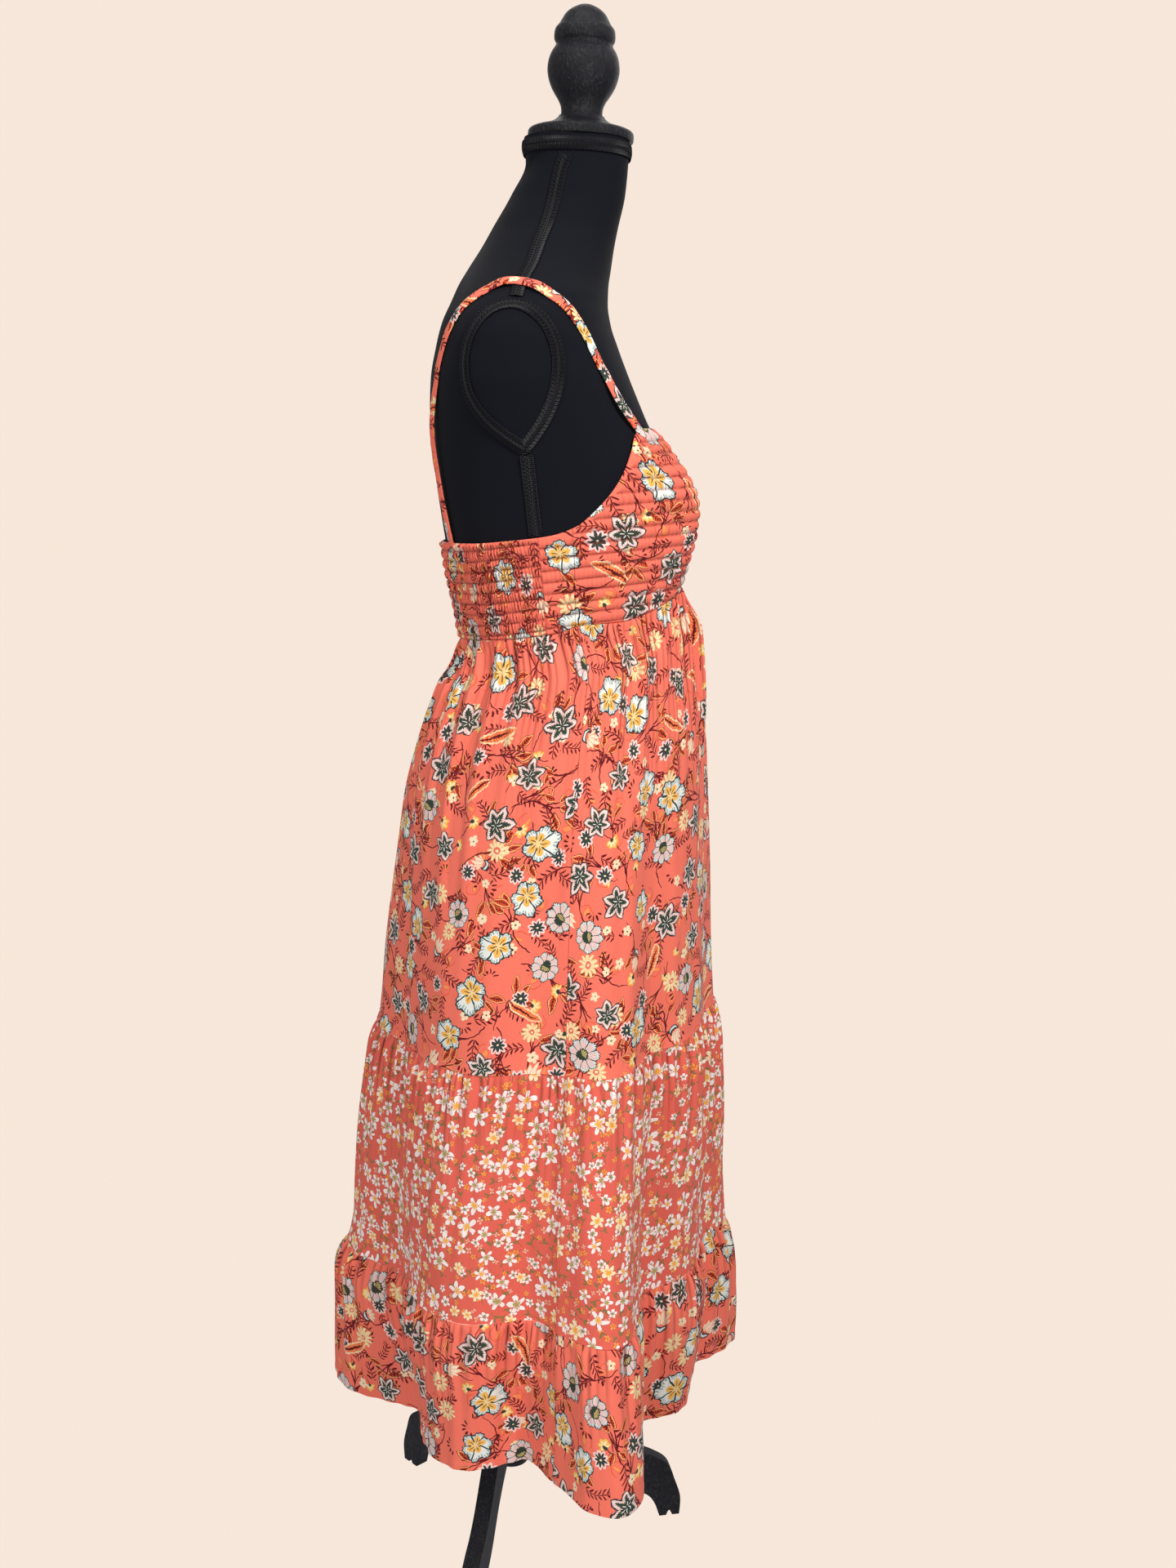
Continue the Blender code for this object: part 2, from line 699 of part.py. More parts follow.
def armplate_outline():
    """Points round the armplate: an oval above and a blunt point below."""
    outline = []
    for k in range(ARMPLATE["points"]):
        turn = 2 * math.pi * k / ARMPLATE["points"]
        across = math.sin(turn)
        forward = 0.0
        if math.cos(turn) >= 0:
            rise = ARMPLATE["up"] * math.cos(turn)
        else:
            depth = (1 - abs(across)) ** ARMPLATE["bluntness"]
            rise = -ARMPLATE["down"] * depth
            forward = ARMPLATE["tip_forward"] * depth**3
        outline.append((ARMPLATE["half_width"] * across + forward, rise))
    return outline


def side_hit(tree, side, front, z):
    """The point of the form straight in from its side."""
    place, _, _, _ = tree.ray_cast(Vector((side * OUTSIDE, -front, z)), Vector((-side, 0.0, 0.0)))
    return place


def make_side_trims(side_name, side, tree, collection):
    """The braid down the shoulder seam, round the armplate and down the side seam."""
    shoulder = smooth_route(on_side(side, SHOULDER_SEAM), 3)
    band(f"braid_shoulder_{side_name}", tree, shoulder, braid_spec(), "black_braid", collection)
    ring = []
    for across, rise in armplate_outline():
        ring.append(side_hit(tree, side, ARMPLATE["front"] + across, ARMPLATE["z"] + rise))
    band(f"braid_armplate_{side_name}", tree, ring, braid_spec(), "black_braid", collection, closed=True)
    start = ARMPLATE["z"] - ARMPLATE["down"] - BRAID_WIDTH
    down = []
    for k in range(SIDE_BRAID_STEPS + 1):
        share = k / SIDE_BRAID_STEPS
        front = SIDE_BRAID_FRONT[0] + (SIDE_BRAID_FRONT[1] - SIDE_BRAID_FRONT[0]) * share
        down.append(side_hit(tree, side, front, start + (SIDE_BRAID_TO - start) * share))
    band(f"braid_side_{side_name}", tree, down, braid_spec(), "black_braid", collection)


def turned(name, profile, parent, collection):
    """A turned piece: its profile runs from its base up, and closes on its axis at both ends."""
    bm = bmesh.new()
    points = [(0.0, profile[0][1]), *profile, (0.0, profile[-1][1])]
    chain = [bm.verts.new((radius, 0.0, height)) for radius, height in reversed(points)]
    for first, second in zip(chain, chain[1:]):
        bm.edges.new((first, second))
    mesh = bpy.data.meshes.new(name)
    bm.to_mesh(mesh)
    bm.free()
    obj = add_object(name, mesh, "black_wood", collection)
    screw = obj.modifiers.new("Turn", "SCREW")
    screw.steps = screw.render_steps = TURNED_STEPS
    screw.use_merge_vertices = True
    screw.merge_threshold = 0.00001
    obj.parent = parent
    return obj


def empty(name, place, collection):
    holder = bpy.data.objects.new(name, None)
    holder.location = place
    collection.objects.link(holder)
    return holder


def make_neck_wood(collection):
    base = BODY[0][0] - math.tan(NECK_LEAN) * NECK_FORWARD
    axis = empty("neck_axis", (0.0, neck_centre_y() - NECK_FORWARD, base), collection)
    axis.rotation_euler = (NECK_LEAN, 0.0, 0.0)
    turned("neck_cap", NECK_CAP, axis, collection)
    turned("finial", FINIAL, axis, collection)


def make_pole(collection):
    """A plain pole cut level at both ends, which leans from the hub to the form."""
    low = HUB[-1][1] + SEAM_GAP
    high = BODY[-1][0] - SEAM_GAP
    bm = bmesh.new()
    bmesh.ops.create_cone(
        bm, cap_ends=True, segments=20, radius1=POLE_RADIUS, radius2=POLE_RADIUS, depth=high - low
    )
    shift = Vector((POLE_TOP[0] - STAND_AXIS[0], POLE_TOP[1] - STAND_AXIS[1], 0.0))
    for vertex in bm.verts:
        if vertex.co.z > 0:
            vertex.co += shift
    pole = mesh_object("pole", bm, "black_wood", collection)
    pole.location = (*STAND_AXIS, (low + high) / 2)


def leg_points():
    """The leg's outline, rounded between its sharp points."""
    points = [Vector(row) for row in LEG_OUTLINE]
    rounded = []
    corners = list(LEG_CORNERS)
    for start, end in zip(corners, corners[1:]):
        rounded += smooth_route(points[start:end + 1], 2)[:-1]
    return rounded + [points[corners[-1]]]


def make_legs(hub_axis, collection):
    outline = leg_points()
    for name, bearing in LEG_BEARINGS.items():
        curve = bpy.data.curves.new(name, "CURVE")
        curve.dimensions = "2D"
        curve.fill_mode = "BOTH"
        curve.extrude = LEG_THICK / 2
        spline = curve.splines.new("POLY")
        spline.points.add(len(outline) - 1)
        for point, place in zip(spline.points, outline):
            point.co = (place.x, place.y, 0.0, 1.0)
        spline.use_cyclic_u = True
        leg = add_object(name, curve, "black_wood", collection)
        leg.parent = hub_axis
        leg.rotation_euler = (math.radians(90), 0.0, math.radians(bearing - 90))


def make_stand(collection):
    hub_axis = empty("hub_axis", (*STAND_AXIS, 0.0), collection)
    turned("hub", HUB, hub_axis, collection)
    make_legs(hub_axis, collection)
    make_pole(collection)


def make_dress(tree, collection):
    side = BODICE_SIDE_SEAM
    bodice_panel("bodice_front", -side, side, FRONT_BODICE_COLUMNS, FRONT_ROW_PITCH, collection)
    bodice_panel("bodice_back", side, 360 - side, BACK_BODICE_COLUMNS, BACK_ROW_PITCH, collection)
    side = SKIRT_SIDE_SEAM
    for tier, spec in TIERS.items():
        finish = "ditsy_print" if tier == "tier2" else "coral_print"
        tier_panel(f"{tier}_front", tier, -side, side, spec["front_columns"], finish, collection)
        tier_panel(f"{tier}_back", tier, side, 360 - side, spec["back_columns"], finish, collection)
    make_strap("strap_left", 1, tree, collection)
    make_strap("strap_right", -1, tree, collection)


def main():
    clear_scene()
    collection = bpy.data.collections.new("tiered_dress_on_form")
    bpy.context.scene.collection.children.link(collection)
    form = make_form(collection)
    tree = tree_of(form)
    make_dress(tree, collection)
    make_neck_braid(tree, collection)
    for side_name, side in (("left", 1), ("right", -1)):
        make_side_trims(side_name, side, tree, collection)
    make_neck_wood(collection)
    make_stand(collection)


main()
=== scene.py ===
"""The looks of a tiered sundress on a limbless dress form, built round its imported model.

Metres, +Z up. The garment's front faces -Y and the wearer's left is +X.
A bearing is the direction of a point round the body, in degrees from the front towards +X.
A level point is a complex number, with x as its real part and y as its imaginary part.
"""

import math
from functools import partialmethod

import bpy
import numpy as np
from mathutils import Matrix, Vector
from mathutils.bvhtree import BVHTree


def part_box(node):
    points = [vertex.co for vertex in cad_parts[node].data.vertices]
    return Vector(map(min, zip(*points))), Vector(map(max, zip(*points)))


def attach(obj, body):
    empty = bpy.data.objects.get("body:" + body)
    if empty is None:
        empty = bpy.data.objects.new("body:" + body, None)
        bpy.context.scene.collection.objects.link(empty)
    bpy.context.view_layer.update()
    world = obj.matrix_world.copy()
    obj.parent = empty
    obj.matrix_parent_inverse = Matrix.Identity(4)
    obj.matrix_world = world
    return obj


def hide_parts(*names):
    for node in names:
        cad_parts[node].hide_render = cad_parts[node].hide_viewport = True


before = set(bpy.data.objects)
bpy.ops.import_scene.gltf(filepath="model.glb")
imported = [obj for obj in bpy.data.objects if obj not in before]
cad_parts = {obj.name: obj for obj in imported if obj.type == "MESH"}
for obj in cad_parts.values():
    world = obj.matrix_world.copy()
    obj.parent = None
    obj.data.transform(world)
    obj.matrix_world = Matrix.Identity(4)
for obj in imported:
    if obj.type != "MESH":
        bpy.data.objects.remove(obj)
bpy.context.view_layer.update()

# The camera, as the photograph has it
CAMERA_PLACE = (-1.72, -0.0568, 1.196)
CAMERA_PITCH = 11.0
FOCAL_PIXELS = 2063.0
LONG_SIDE_PIXELS = 1920.0
SENSOR = 36.0

# The studio's colours, as screens show them, and its lamps
BACKDROP = (247, 231, 218)
DAYLIGHT = (236, 236, 240)
SKY_STRENGTH = 0.36
FLOOR_HALF = 14.0
WARM_WHITE = (255, 250, 244)
LAMPS = {
    # name: place, the height on the form's axis that it faces, size, power
    "key": ((-1.9, -1.3, 2.75), 0.95, 0.6, 68),
    "fill": ((-3.0, 2.0, 2.0), 0.9, 1.6, 45),
    "top": ((0.2, 0.2, 3.6), 1.0, 1.0, 12),
    "low": ((-2.2, 1.1, 0.45), 0.2, 0.8, 5),
    "far_side": ((3.0, -0.5, 2.2), 0.9, 3.0, 30),
}

# Cloth and seams, and the shapes that follow, as in the part's source
CLOTH = 0.0016
SEAM_GAP = 0.0003
EASE = 0.0020
CLOTH_SHARP = 50            # an edge that turns by more degrees than this stays sharp
TUBE_SHARP = 60
WOOD_SHARP = 35
TIER_SEAMS = {"upper": (0.613, 0.010), "lower": (0.360, 0.010), "hem": (0.204, 0.018)}
SKIRT_SIDE_SEAM = 84.0
SKIRT_SEAM_REACH = 0.20
BODICE_SIDE_SEAM = 85.0
BODICE_SEAM_REACH = 0.13
GATHERED_FROM = (95.3, 96.3)     # the bearings where the dense gathers of the back begin

BODY = [
    # z, half_width, front, back
    (1.4955, 0.049, 0.0973, 0.005), (1.475, 0.0488, 0.096, 0.0036), (1.445, 0.0515, 0.093, 0.0176),
    (1.415, 0.062, 0.0862, 0.0355), (1.395, 0.078, 0.0822, 0.047), (1.375, 0.098, 0.0792, 0.0598),
    (1.358, 0.12, 0.0768, 0.0698), (1.342, 0.142, 0.0763, 0.0768), (1.322, 0.1585, 0.0792, 0.0858),
    (1.3, 0.165, 0.0865, 0.0918), (1.27, 0.1655, 0.098, 0.0975), (1.24, 0.16, 0.11, 0.099),
    (1.205, 0.152, 0.122, 0.0975), (1.17, 0.1455, 0.129, 0.094), (1.13, 0.1405, 0.1325, 0.0885),
    (1.085, 0.135, 0.1335, 0.0815), (1.03, 0.127, 0.1315, 0.071), (0.98, 0.122, 0.129, 0.0655),
    (0.93, 0.129, 0.132, 0.073), (0.87, 0.148, 0.1365, 0.089), (0.81, 0.162, 0.1385, 0.0985),
    (0.76, 0.166, 0.1385, 0.1), (0.735, 0.165, 0.1375, 0.098),
]
BODY_SQUARENESS = 2.3
FORM_COLUMNS = 180
FORM_LEVELS = ((1.4955, 1.10, 150), (1.10, 0.735, 51))      # from, to and count of its rings
BUST_LEVEL = 1.150
BUST_APART = 0.085
BUST_FACING = (-0.25, 0.35)
FORM_BUST = {"height": 0.037, "across": 0.050, "up": 0.055, "down": 0.055}
CUP_BUST = {"height": 0.040, "across": 0.055, "up": 0.060, "down": 0.100}

BODICE = [
    # bearing, top, bottom
    (0.0, 1.168, 1.079), (15.0, 1.184, 1.0765), (26.0, 1.205, 1.0728), (33.0, 1.2175, 1.0672),
    (41.0, 1.2225, 1.0606), (49.5, 1.2215, 1.055), (54.5, 1.2165, 1.0505), (60.0, 1.2005, 1.0455),
    (68.0, 1.1748, 1.0416), (76.0, 1.1512, 1.0405), (84.0, 1.1318, 1.0385), (92.0, 1.1236, 1.0315),
    (105.0, 1.119, 1.027), (125.0, 1.115, 1.0225), (150.0, 1.114, 1.019), (180.0, 1.113, 1.015),
]
ROW_SWEEP = [
    # bearing, rise
    (0.0, 0.014), (30.0, 0.0132), (50.0, 0.0112), (75.0, 0.006), (100.0, -0.002), (130.0, -0.01),
    (150.0, -0.0112), (180.0, -0.0112),
]

SKIRT = [
    # z, half_width, front, back
    (1.08, 0.136, 0.154, 0.06), (1.04, 0.14, 0.1605, 0.068), (1.0, 0.147, 0.165, 0.081),
    (0.964, 0.156, 0.1705, 0.0965), (0.93, 0.164, 0.1755, 0.1105), (0.896, 0.171, 0.1785, 0.1215),
    (0.862, 0.177, 0.18, 0.13), (0.827, 0.182, 0.181, 0.1355), (0.757, 0.19, 0.1835, 0.144),
    (0.685, 0.1975, 0.185, 0.152), (0.613, 0.204, 0.188, 0.158), (0.595, 0.208, 0.192, 0.163),
    (0.576, 0.212, 0.1945, 0.168), (0.5, 0.222, 0.1965, 0.179), (0.427, 0.23, 0.194, 0.185),
    (0.369, 0.236, 0.195, 0.188), (0.35, 0.241, 0.199, 0.193), (0.331, 0.246, 0.203, 0.2),
    (0.31, 0.25, 0.2045, 0.203), (0.27, 0.255, 0.204, 0.202), (0.2, 0.262, 0.198, 0.201),
    (0.17, 0.264, 0.196, 0.2),
]
SKIRT_SQUARENESS = 2.1
WAIST_BLEND = 0.050
FOLDS = [
    # bearing, crest, valley_after
    (-185.0, 1.0, 2.7), (-112.0, -1.8, 3.0), (-72.0, 1.7, 2.4), (-35.0, -1.0, 1.1), (8.0, 0.9, 0.8),
    (38.0, 0.9, 1.0), (66.0, 1.1, 1.2), (94.0, 0.9, 1.0), (122.0, 1.0, 1.1), (149.0, 0.8, 0.9),
]
FOLD_DEPTH = [
    # z, depth
    (0.17, 0.0275), (0.204, 0.0265), (0.36, 0.016), (0.5, 0.0115), (0.613, 0.0075), (0.8, 0.0035),
    (0.95, 0.0), (1.1, 0.0),
]
FRONT_FOLD = {"bearing": -13.0, "half_angle": 9.0, "height": 0.008, "level": 1.005, "half_height": 0.085}
WAIST_GATHERS = [
    # below_seam, height
    (0.0, 0.0), (0.013, 0.0036), (0.05, 0.0034), (0.12, 0.002), (0.22, 0.001), (0.42, 0.0),
]
TIER_GATHERS = [
    # below_seam, height
    (0.0, 0.0), (0.012, 0.0027), (0.05, 0.0019), (0.11, 0.001), (0.25, 0.0003),
]
GATHER_SPREAD = (0.6, 1.3)

# The fine gathers that lie between the large ones
WAIST_PINCHES = [
    # below_seam, height
    (0.0, 0.0009), (0.008, 0.0022), (0.04, 0.0018), (0.1, 0.0008), (0.18, 0.0),
]
TIER_PINCHES = [
    # below_seam, height
    (0.0, 0.0008), (0.007, 0.002), (0.03, 0.0015), (0.07, 0.0006), (0.12, 0.0),
]
# depth: how narrowly the painted shade keeps to a fine gather's valley
PINCH = {"drift": 0.45, "drift_pitches": 2.3, "reach": (0.55, 1.45), "tall": (0.45, 1.30), "depth": 2.5}
TIERS = {
    "tier1": {
        "top": "waist", "bottom": "upper", "gathers": WAIST_GATHERS, "pinches": WAIST_PINCHES,
        "pitch": 0.0065, "wave": (1.0, -0.5, -0.5), "front": 45, "back": 51, "rows": 91,
    },
    "tier2": {
        "top": "upper", "bottom": "lower", "gathers": TIER_GATHERS, "pinches": TIER_PINCHES,
        "pitch": 0.0085, "wave": (1.0, -1.0), "front": 60, "back": 68, "rows": 61,
    },
    "tier3": {
        "top": "lower", "bottom": "hem", "gathers": TIER_GATHERS, "pinches": TIER_PINCHES,
        "pitch": 0.0085, "wave": (1.0, -1.0), "front": 60, "back": 68, "rows": 46,
    },
}
TIER_COLUMNS = {"front": 400, "back": 460}
INSIDE_STEP = 5             # the inner side has one row for so many outside
INSIDE_DEPTH = 0.6          # how far in the skirt's inner side lies, as a share of the cloth
ROW_SPREAD = 0.45           # how evenly the rows lie: 1 is even, less brings them nearer to the top seam
BODICE_DEPTH = 0.8          # how thick the bodice is under its relief, as a share of the cloth
PRINT_SHIFT = 0.01          # how far the print moves on for each degree of a panel's start
SIDE_HELD = {"width": 0.004, "least": 0.4}      # how the side seams hold the fine folds down
WAVER = {"width": 0.019, "length": 0.170, "height": 0.0024, "from": 0.03}
HEM_FOLD = {"width": 0.0090, "height": 0.0005, "soft": 0.0005}
SEAM_RIDGE = {"width": 0.0030, "height": 0.0006}

# row_shade and pucker_shade: how dark the painted shade is in the valleys between rolls and between
# puckers
BODICE_PANELS = {
    "front": {
        "pitch": 0.0108, "columns": 440, "rows": 121, "height": 0.0026, "fullness": 0.52,
        "pucker": 0.0040, "pucker_height": 0.00075, "slant": 0.0, "fullness_across": 1.0, "band": 0.0050,
        "row_shade": 0.75, "pucker_shade": 0.22,
    },
    "back": {
        "pitch": 0.0102, "columns": 520, "rows": 96, "height": 0.0015, "fullness": 0.50,
        "pucker": 0.0028, "pucker_height": 0.00210, "slant": 0.35, "fullness_across": 1.72, "band": 0.0,
        "row_shade": 0.65, "pucker_shade": 1.0,
    },
}
# stitch and depth: how narrowly the painted shade keeps to the valleys between rolls and between puckers
SHIRRING = {
    "drift": 0.5, "drift_puckers": 2.6, "tall": (0.35, 1.25), "least": 0.35, "stitch": 4,
    "depth": 1.5, "band_height": 0.0010, "band_soft": 0.0012, "top_soft": 0.0022,
    "bottom_soft": 0.0016, "at_edge": 0.15,
}
# a painted shade line, darkening the cloth where the rolls end and the dense gathers begin
SIDE_SHADE_LINE = 0.5             # how dark the line is where the rolls end and the dense gathers begin
PRINT_START = 0.31          # where the bodice's print begins across the flat cloth

STRAP_WIDTH = 0.0120
STRAP_THICK = 0.0022
STRAP_GAP = 0.0011
STRAP_BEARINGS = (49.5, 141.0)
STRAP_CROSSING = (0.014, 0.030)
STRAP_TUCK = 0.004          # how far its ends go down behind the bodice's edge
STRAP_COLUMNS = 11
STRAP_STEPS = 14            # for each stretch of its route
STRAP_EDGE = 0.25           # how thick its edges are, as a share of its middle
STRAP_PRINT = 0.07          # how far off its print lies on either side
STRAP_PUCKER = {"pitch": 0.006, "height": 0.12}
STRAP_ROUTE = [
    # out, front, z
    (0.121, 0.087, 1.245), (0.127, 0.0705, 1.274), (0.136, 0.0464, 1.3139), (0.139, 0.022, 1.338),
    (0.131, -0.0107, 1.3505), (0.1275, -0.038, 1.343), (0.118, -0.0627, 1.3222),
    (0.102, -0.08, 1.285), (0.089, -0.0905, 1.2257), (0.082, -0.0842, 1.1645),
]

BRAID_WIDTH = 0.0130
BRAID_GAP = 0.0004
BRAID = {
    "pitch": 0.0036, "cord": 0.00055, "steps": 12, "sides": 5, "tape": 0.0050, "tape_thick": 0.0005,
    "loop": 0.46, "loop_turn": 0.6, "reach": (0.50, 0.44), "rise": (1.5, 0.9), "rise_turn": 1.2,
}
BRAID_POINTS = {"neck": 96, "shoulder": 8, "side": 14}
BRAID_RISE = 0.0030         # what a strap rises by to cross a braid
SHOULDER_SEAM = [
    # out, front, z
    (0.0482, 0.0358, 1.4752), (0.05, 0.03, 1.46), (0.058, 0.022, 1.425), (0.078, 0.012, 1.395),
    (0.1, 0.005, 1.37), (0.125, -0.003, 1.352), (0.142, -0.007, 1.34), (0.1455, -0.008, 1.3365),
]
CROSSING_FRONT = -0.0050
NECK_BRAID_LEVEL = 1.4860
ARMPLATE = {
    "front": -0.0125, "z": 1.2770, "half_width": 0.0425, "up": 0.0540, "down": 0.0735,
    "bluntness": 0.44, "tip_forward": 0.0110, "points": 72,
}
SIDE_BRAID_TO = 1.1240
SIDE_BRAID_FRONT = (0.0007, 0.0083)
OUTSIDE = 0.4

NECK_LEAN = math.radians(2.5)
NECK_FORWARD = 0.0035
NECK_CAP = [
    # radius, height
    (0.0505, 0.0003), (0.0512, 0.0015), (0.0512, 0.007), (0.0495, 0.0095), (0.0455, 0.0112),
    (0.037, 0.0135), (0.029, 0.0165), (0.0235, 0.0205), (0.0222, 0.0225),
]
FINIAL = [
    # radius, height
    (0.02, 0.0228), (0.0203, 0.03), (0.023, 0.0365), (0.027, 0.0425), (0.031, 0.0495),
    (0.0336, 0.057), (0.0348, 0.065), (0.0338, 0.0735), (0.0312, 0.0805), (0.028, 0.0855),
    (0.0274, 0.0885), (0.0291, 0.0915), (0.0294, 0.0965), (0.0284, 0.1015), (0.0252, 0.1055),
    (0.0222, 0.1105), (0.019, 0.1155), (0.0135, 0.12), (0.007, 0.1232),
]
STAND_AXIS = (0.0, 0.0290)
POLE_RADIUS = 0.0125
POLE_TOP = (0.0, -0.0060)
POLE_STEPS = 48
TURNED_STEPS = 72
LEAST_RADIUS = 0.0005
HUB = [
    # radius, z
    (0.012, 0.085), (0.018, 0.088), (0.021, 0.095), (0.021, 0.205), (0.0185, 0.212), (0.0185, 0.22),
    (0.016, 0.23),
]
LEG_BEARINGS = {"leg_front": 10.0, "leg_left": 133.0, "leg_right": -102.0}
LEG_THICK = 0.0175
LEG_BEVEL = 0.0015
LEG_OUTLINE = [
    # reach, z
    (0.0215, 0.198), (0.05, 0.184), (0.085, 0.145), (0.12, 0.106), (0.143, 0.0865), (0.162, 0.0765),
    (0.179, 0.064), (0.187, 0.044), (0.1935, 0.022), (0.1925, 0.0), (0.184, 0.0), (0.1805, 0.006),
    (0.177, 0.0), (0.169, 0.0), (0.164, 0.015), (0.156, 0.027), (0.14, 0.037), (0.115, 0.056),
    (0.085, 0.088), (0.05, 0.113), (0.0215, 0.12),
]
LEG_CORNERS = (0, 9, 10, 12, 13, 20)

# Colours, as screens show them
CORAL = (248, 120, 99)
DITSY_GROUND = (230, 102, 86)
# painted shade: a dark red that darkens the cloth deep in its creases
PAINTED_CREASE_SHADE = (112, 34, 30)
BLACK_CLOTH = (16, 18, 26)
BLACK_CORD = (11, 12, 20)
BLACK_WOOD = (17, 18, 25)
WOOD_WORN = (96, 93, 100)


# Curves and sections

def smoothstep(low, high, value):
    share = np.clip((value - low) / (high - low), 0.0, 1.0)
    return share * share * (3 - 2 * share)


def read(table, at):
    """The table's other columns where its first is at, on a smooth curve that never overshoots."""
    rows = np.array(sorted(table))
    keys = rows[:, 0]
    columns = rows[:, 1:]
    at = np.clip(at, keys[0], keys[-1])
    i = np.clip(np.searchsorted(keys, at, side="right") - 1, 0, len(keys) - 2)
    steps = np.diff(keys)
    rises = np.diff(columns, axis=0) / steps[:, None]
    before = np.vstack([rises[:1], rises])
    after = np.vstack([rises, rises[-1:]])
    same = before * after > 0
    slopes = np.where(same, 2 * before * after / np.where(same, before + after, 1.0), 0.0)
    share = ((at - keys[i]) / steps[i])[..., None]
    step = steps[i][..., None]
    found = columns[i] + (columns[i + 1] - columns[i]) * share**2 * (3 - 2 * share)
    found = found + slopes[i] * step * share * (1 - share) ** 2
    found = found - slopes[i + 1] * step * share**2 * (1 - share)
    return np.moveaxis(found, -1, 0)


def folded(bearing):
    """The same bearing on the wearer's left, for tables that hold for both sides."""
    return np.abs((bearing + 180.0) % 360.0 - 180.0)


def section(bearing, half_width, front, back, squareness):
    """The level point of a rounded section in the direction of bearing."""
    half_depth = (front + back) / 2
    across = np.sin(np.radians(bearing))
    ahead = np.cos(np.radians(bearing))
    total = np.abs(across / half_width) ** squareness + np.abs(ahead / half_depth) ** squareness
    reach = total ** (-1 / squareness)
    return reach * across + 1j * ((back - front) / 2 - reach * ahead)


def bust_rise(x, bearing, z, bust):
    fall = np.where(z > BUST_LEVEL, bust["up"], bust["down"])
    level = np.exp(-(((z - BUST_LEVEL) / fall) ** 2))
    sides = sum(np.exp(-(((x - side * BUST_APART) / bust["across"]) ** 2)) for side in (-1, 1))
    facing = smoothstep(*BUST_FACING, np.cos(np.radians(bearing)))
    return bust["height"] * level * sides * facing


def body_point(bearing, z, bust, out=0.0):
    half_width, front, back = read(BODY, z)
    point = section(bearing, half_width + out, front + out, back + out, BODY_SQUARENESS)
    return point - 1j * bust_rise(point.real, bearing, z, bust)


def outward(curve, bearing):
    """The level direction that points out of a closed curve of bearings."""
    along = curve(bearing + 0.5) - curve(bearing - 0.5)
    return -1j * along / np.abs(along)


def bodice_edge(bearing, which):
    """The height of the bodice's top or bottom edge."""
    return read(BODICE, folded(bearing))[("top", "bottom").index(which)]


def seam_level(seam, bearing):
    if seam == "waist":
        return bodice_edge(bearing, "bottom")
    mean, tilt = TIER_SEAMS[seam]
    return mean + tilt * np.cos(np.radians(bearing))


def front_fold(bearing, z):
    """The one fold that stands proud under the bust."""
    across = (bearing - FRONT_FOLD["bearing"]) / FRONT_FOLD["half_angle"]
    down = (z - FRONT_FOLD["level"]) / FRONT_FOLD["half_height"]
    return FRONT_FOLD["height"] * np.exp(-(across**2)) * np.maximum(1 - down**2, 0.0)


def fold_depth(bearing, z):
    """How far the long folds move the skirt out there. It is negative in a valley."""
    starts, crests, valleys = np.array(FOLDS).T
    ends = np.append(starts[1:], starts[0] + 360.0)
    turned = (bearing - starts[0]) % 360.0 + starts[0]
    i = np.searchsorted(starts, turned, side="right") - 1
    share = (turned - starts[i]) / (ends[i] - starts[i])
    height = (1 + np.cos(2 * np.pi * share)) / 2
    peak = np.where(share < 0.5, crests[i], np.roll(crests, -1)[i])
    depth = read(FOLD_DEPTH, z)[0] * (height * (peak + valleys[i]) - valleys[i])
    return depth + front_fold(bearing, z)


def bodice_outer(bearing, z):
    inner = body_point(bearing, z, CUP_BUST, EASE)
    return inner + outward(lambda at: body_point(at, z, CUP_BUST, EASE), bearing) * CLOTH


def skirt_point(bearing, z):
    """The skirt's outer side without its gathers. At the waist seam it is the bodice's."""
    half_width, front, back = read(SKIRT, z)
    point = section(bearing, half_width, front, back, SKIRT_SQUARENESS)
    from_middle = point - 1j * (back - front) / 2
    point = point + from_middle / np.abs(from_middle) * fold_depth(bearing, z)
    seam = seam_level("waist", bearing)
    waist = bodice_outer(bearing, seam)
    return waist + (point - waist) * smoothstep(0.0, WAIST_BLEND, seam - z)


# Unevenness that is the same in each run

def uneven(number):
    """A share from 0 to 1 that looks random and is always the same for one number."""
    return (np.sin(number * 12.9898 + 4.1) * 43758.5453) % 1.0


def between(limits, number):
    """An uneven value from the one limit to the other."""
    least, most = limits
    return least + (most - least) * uneven(number)


def ripple(at, seed):
    """Smooth values from -1 to 1 along a line, with a new one at each whole number."""
    low = np.floor(at)
    share = smoothstep(0.0, 1.0, at - low)
    first = uneven(low + seed)
    return 2 * (first + (uneven(low + 1 + seed) - first) * share) - 1


def ripple_over(across, down, seed):
    """The same over a surface."""
    low = np.floor(down)
    share = smoothstep(0.0, 1.0, down - low)
    first = ripple(across, seed + 57.0 * low)
    return first + (ripple(across, seed + 57.0 * (low + 1)) - first) * share


# Meshes

def link(name, data):
    """A new object in the scene."""
    obj = bpy.data.objects.new(name, data)
    bpy.context.scene.collection.objects.link(obj)
    return obj


def add_piece(name, mesh, finish, node, sharp):
    """A piece that rides on the part's one body in a node's place. finish: a material and its slot."""
    material, slot = finish
    mesh.materials.append(material)
    mesh.shade_smooth()
    mesh.set_sharp_from_angle(angle=math.radians(sharp))
    piece = link(name, mesh)
    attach(piece, "root")
    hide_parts(node)
    return piece


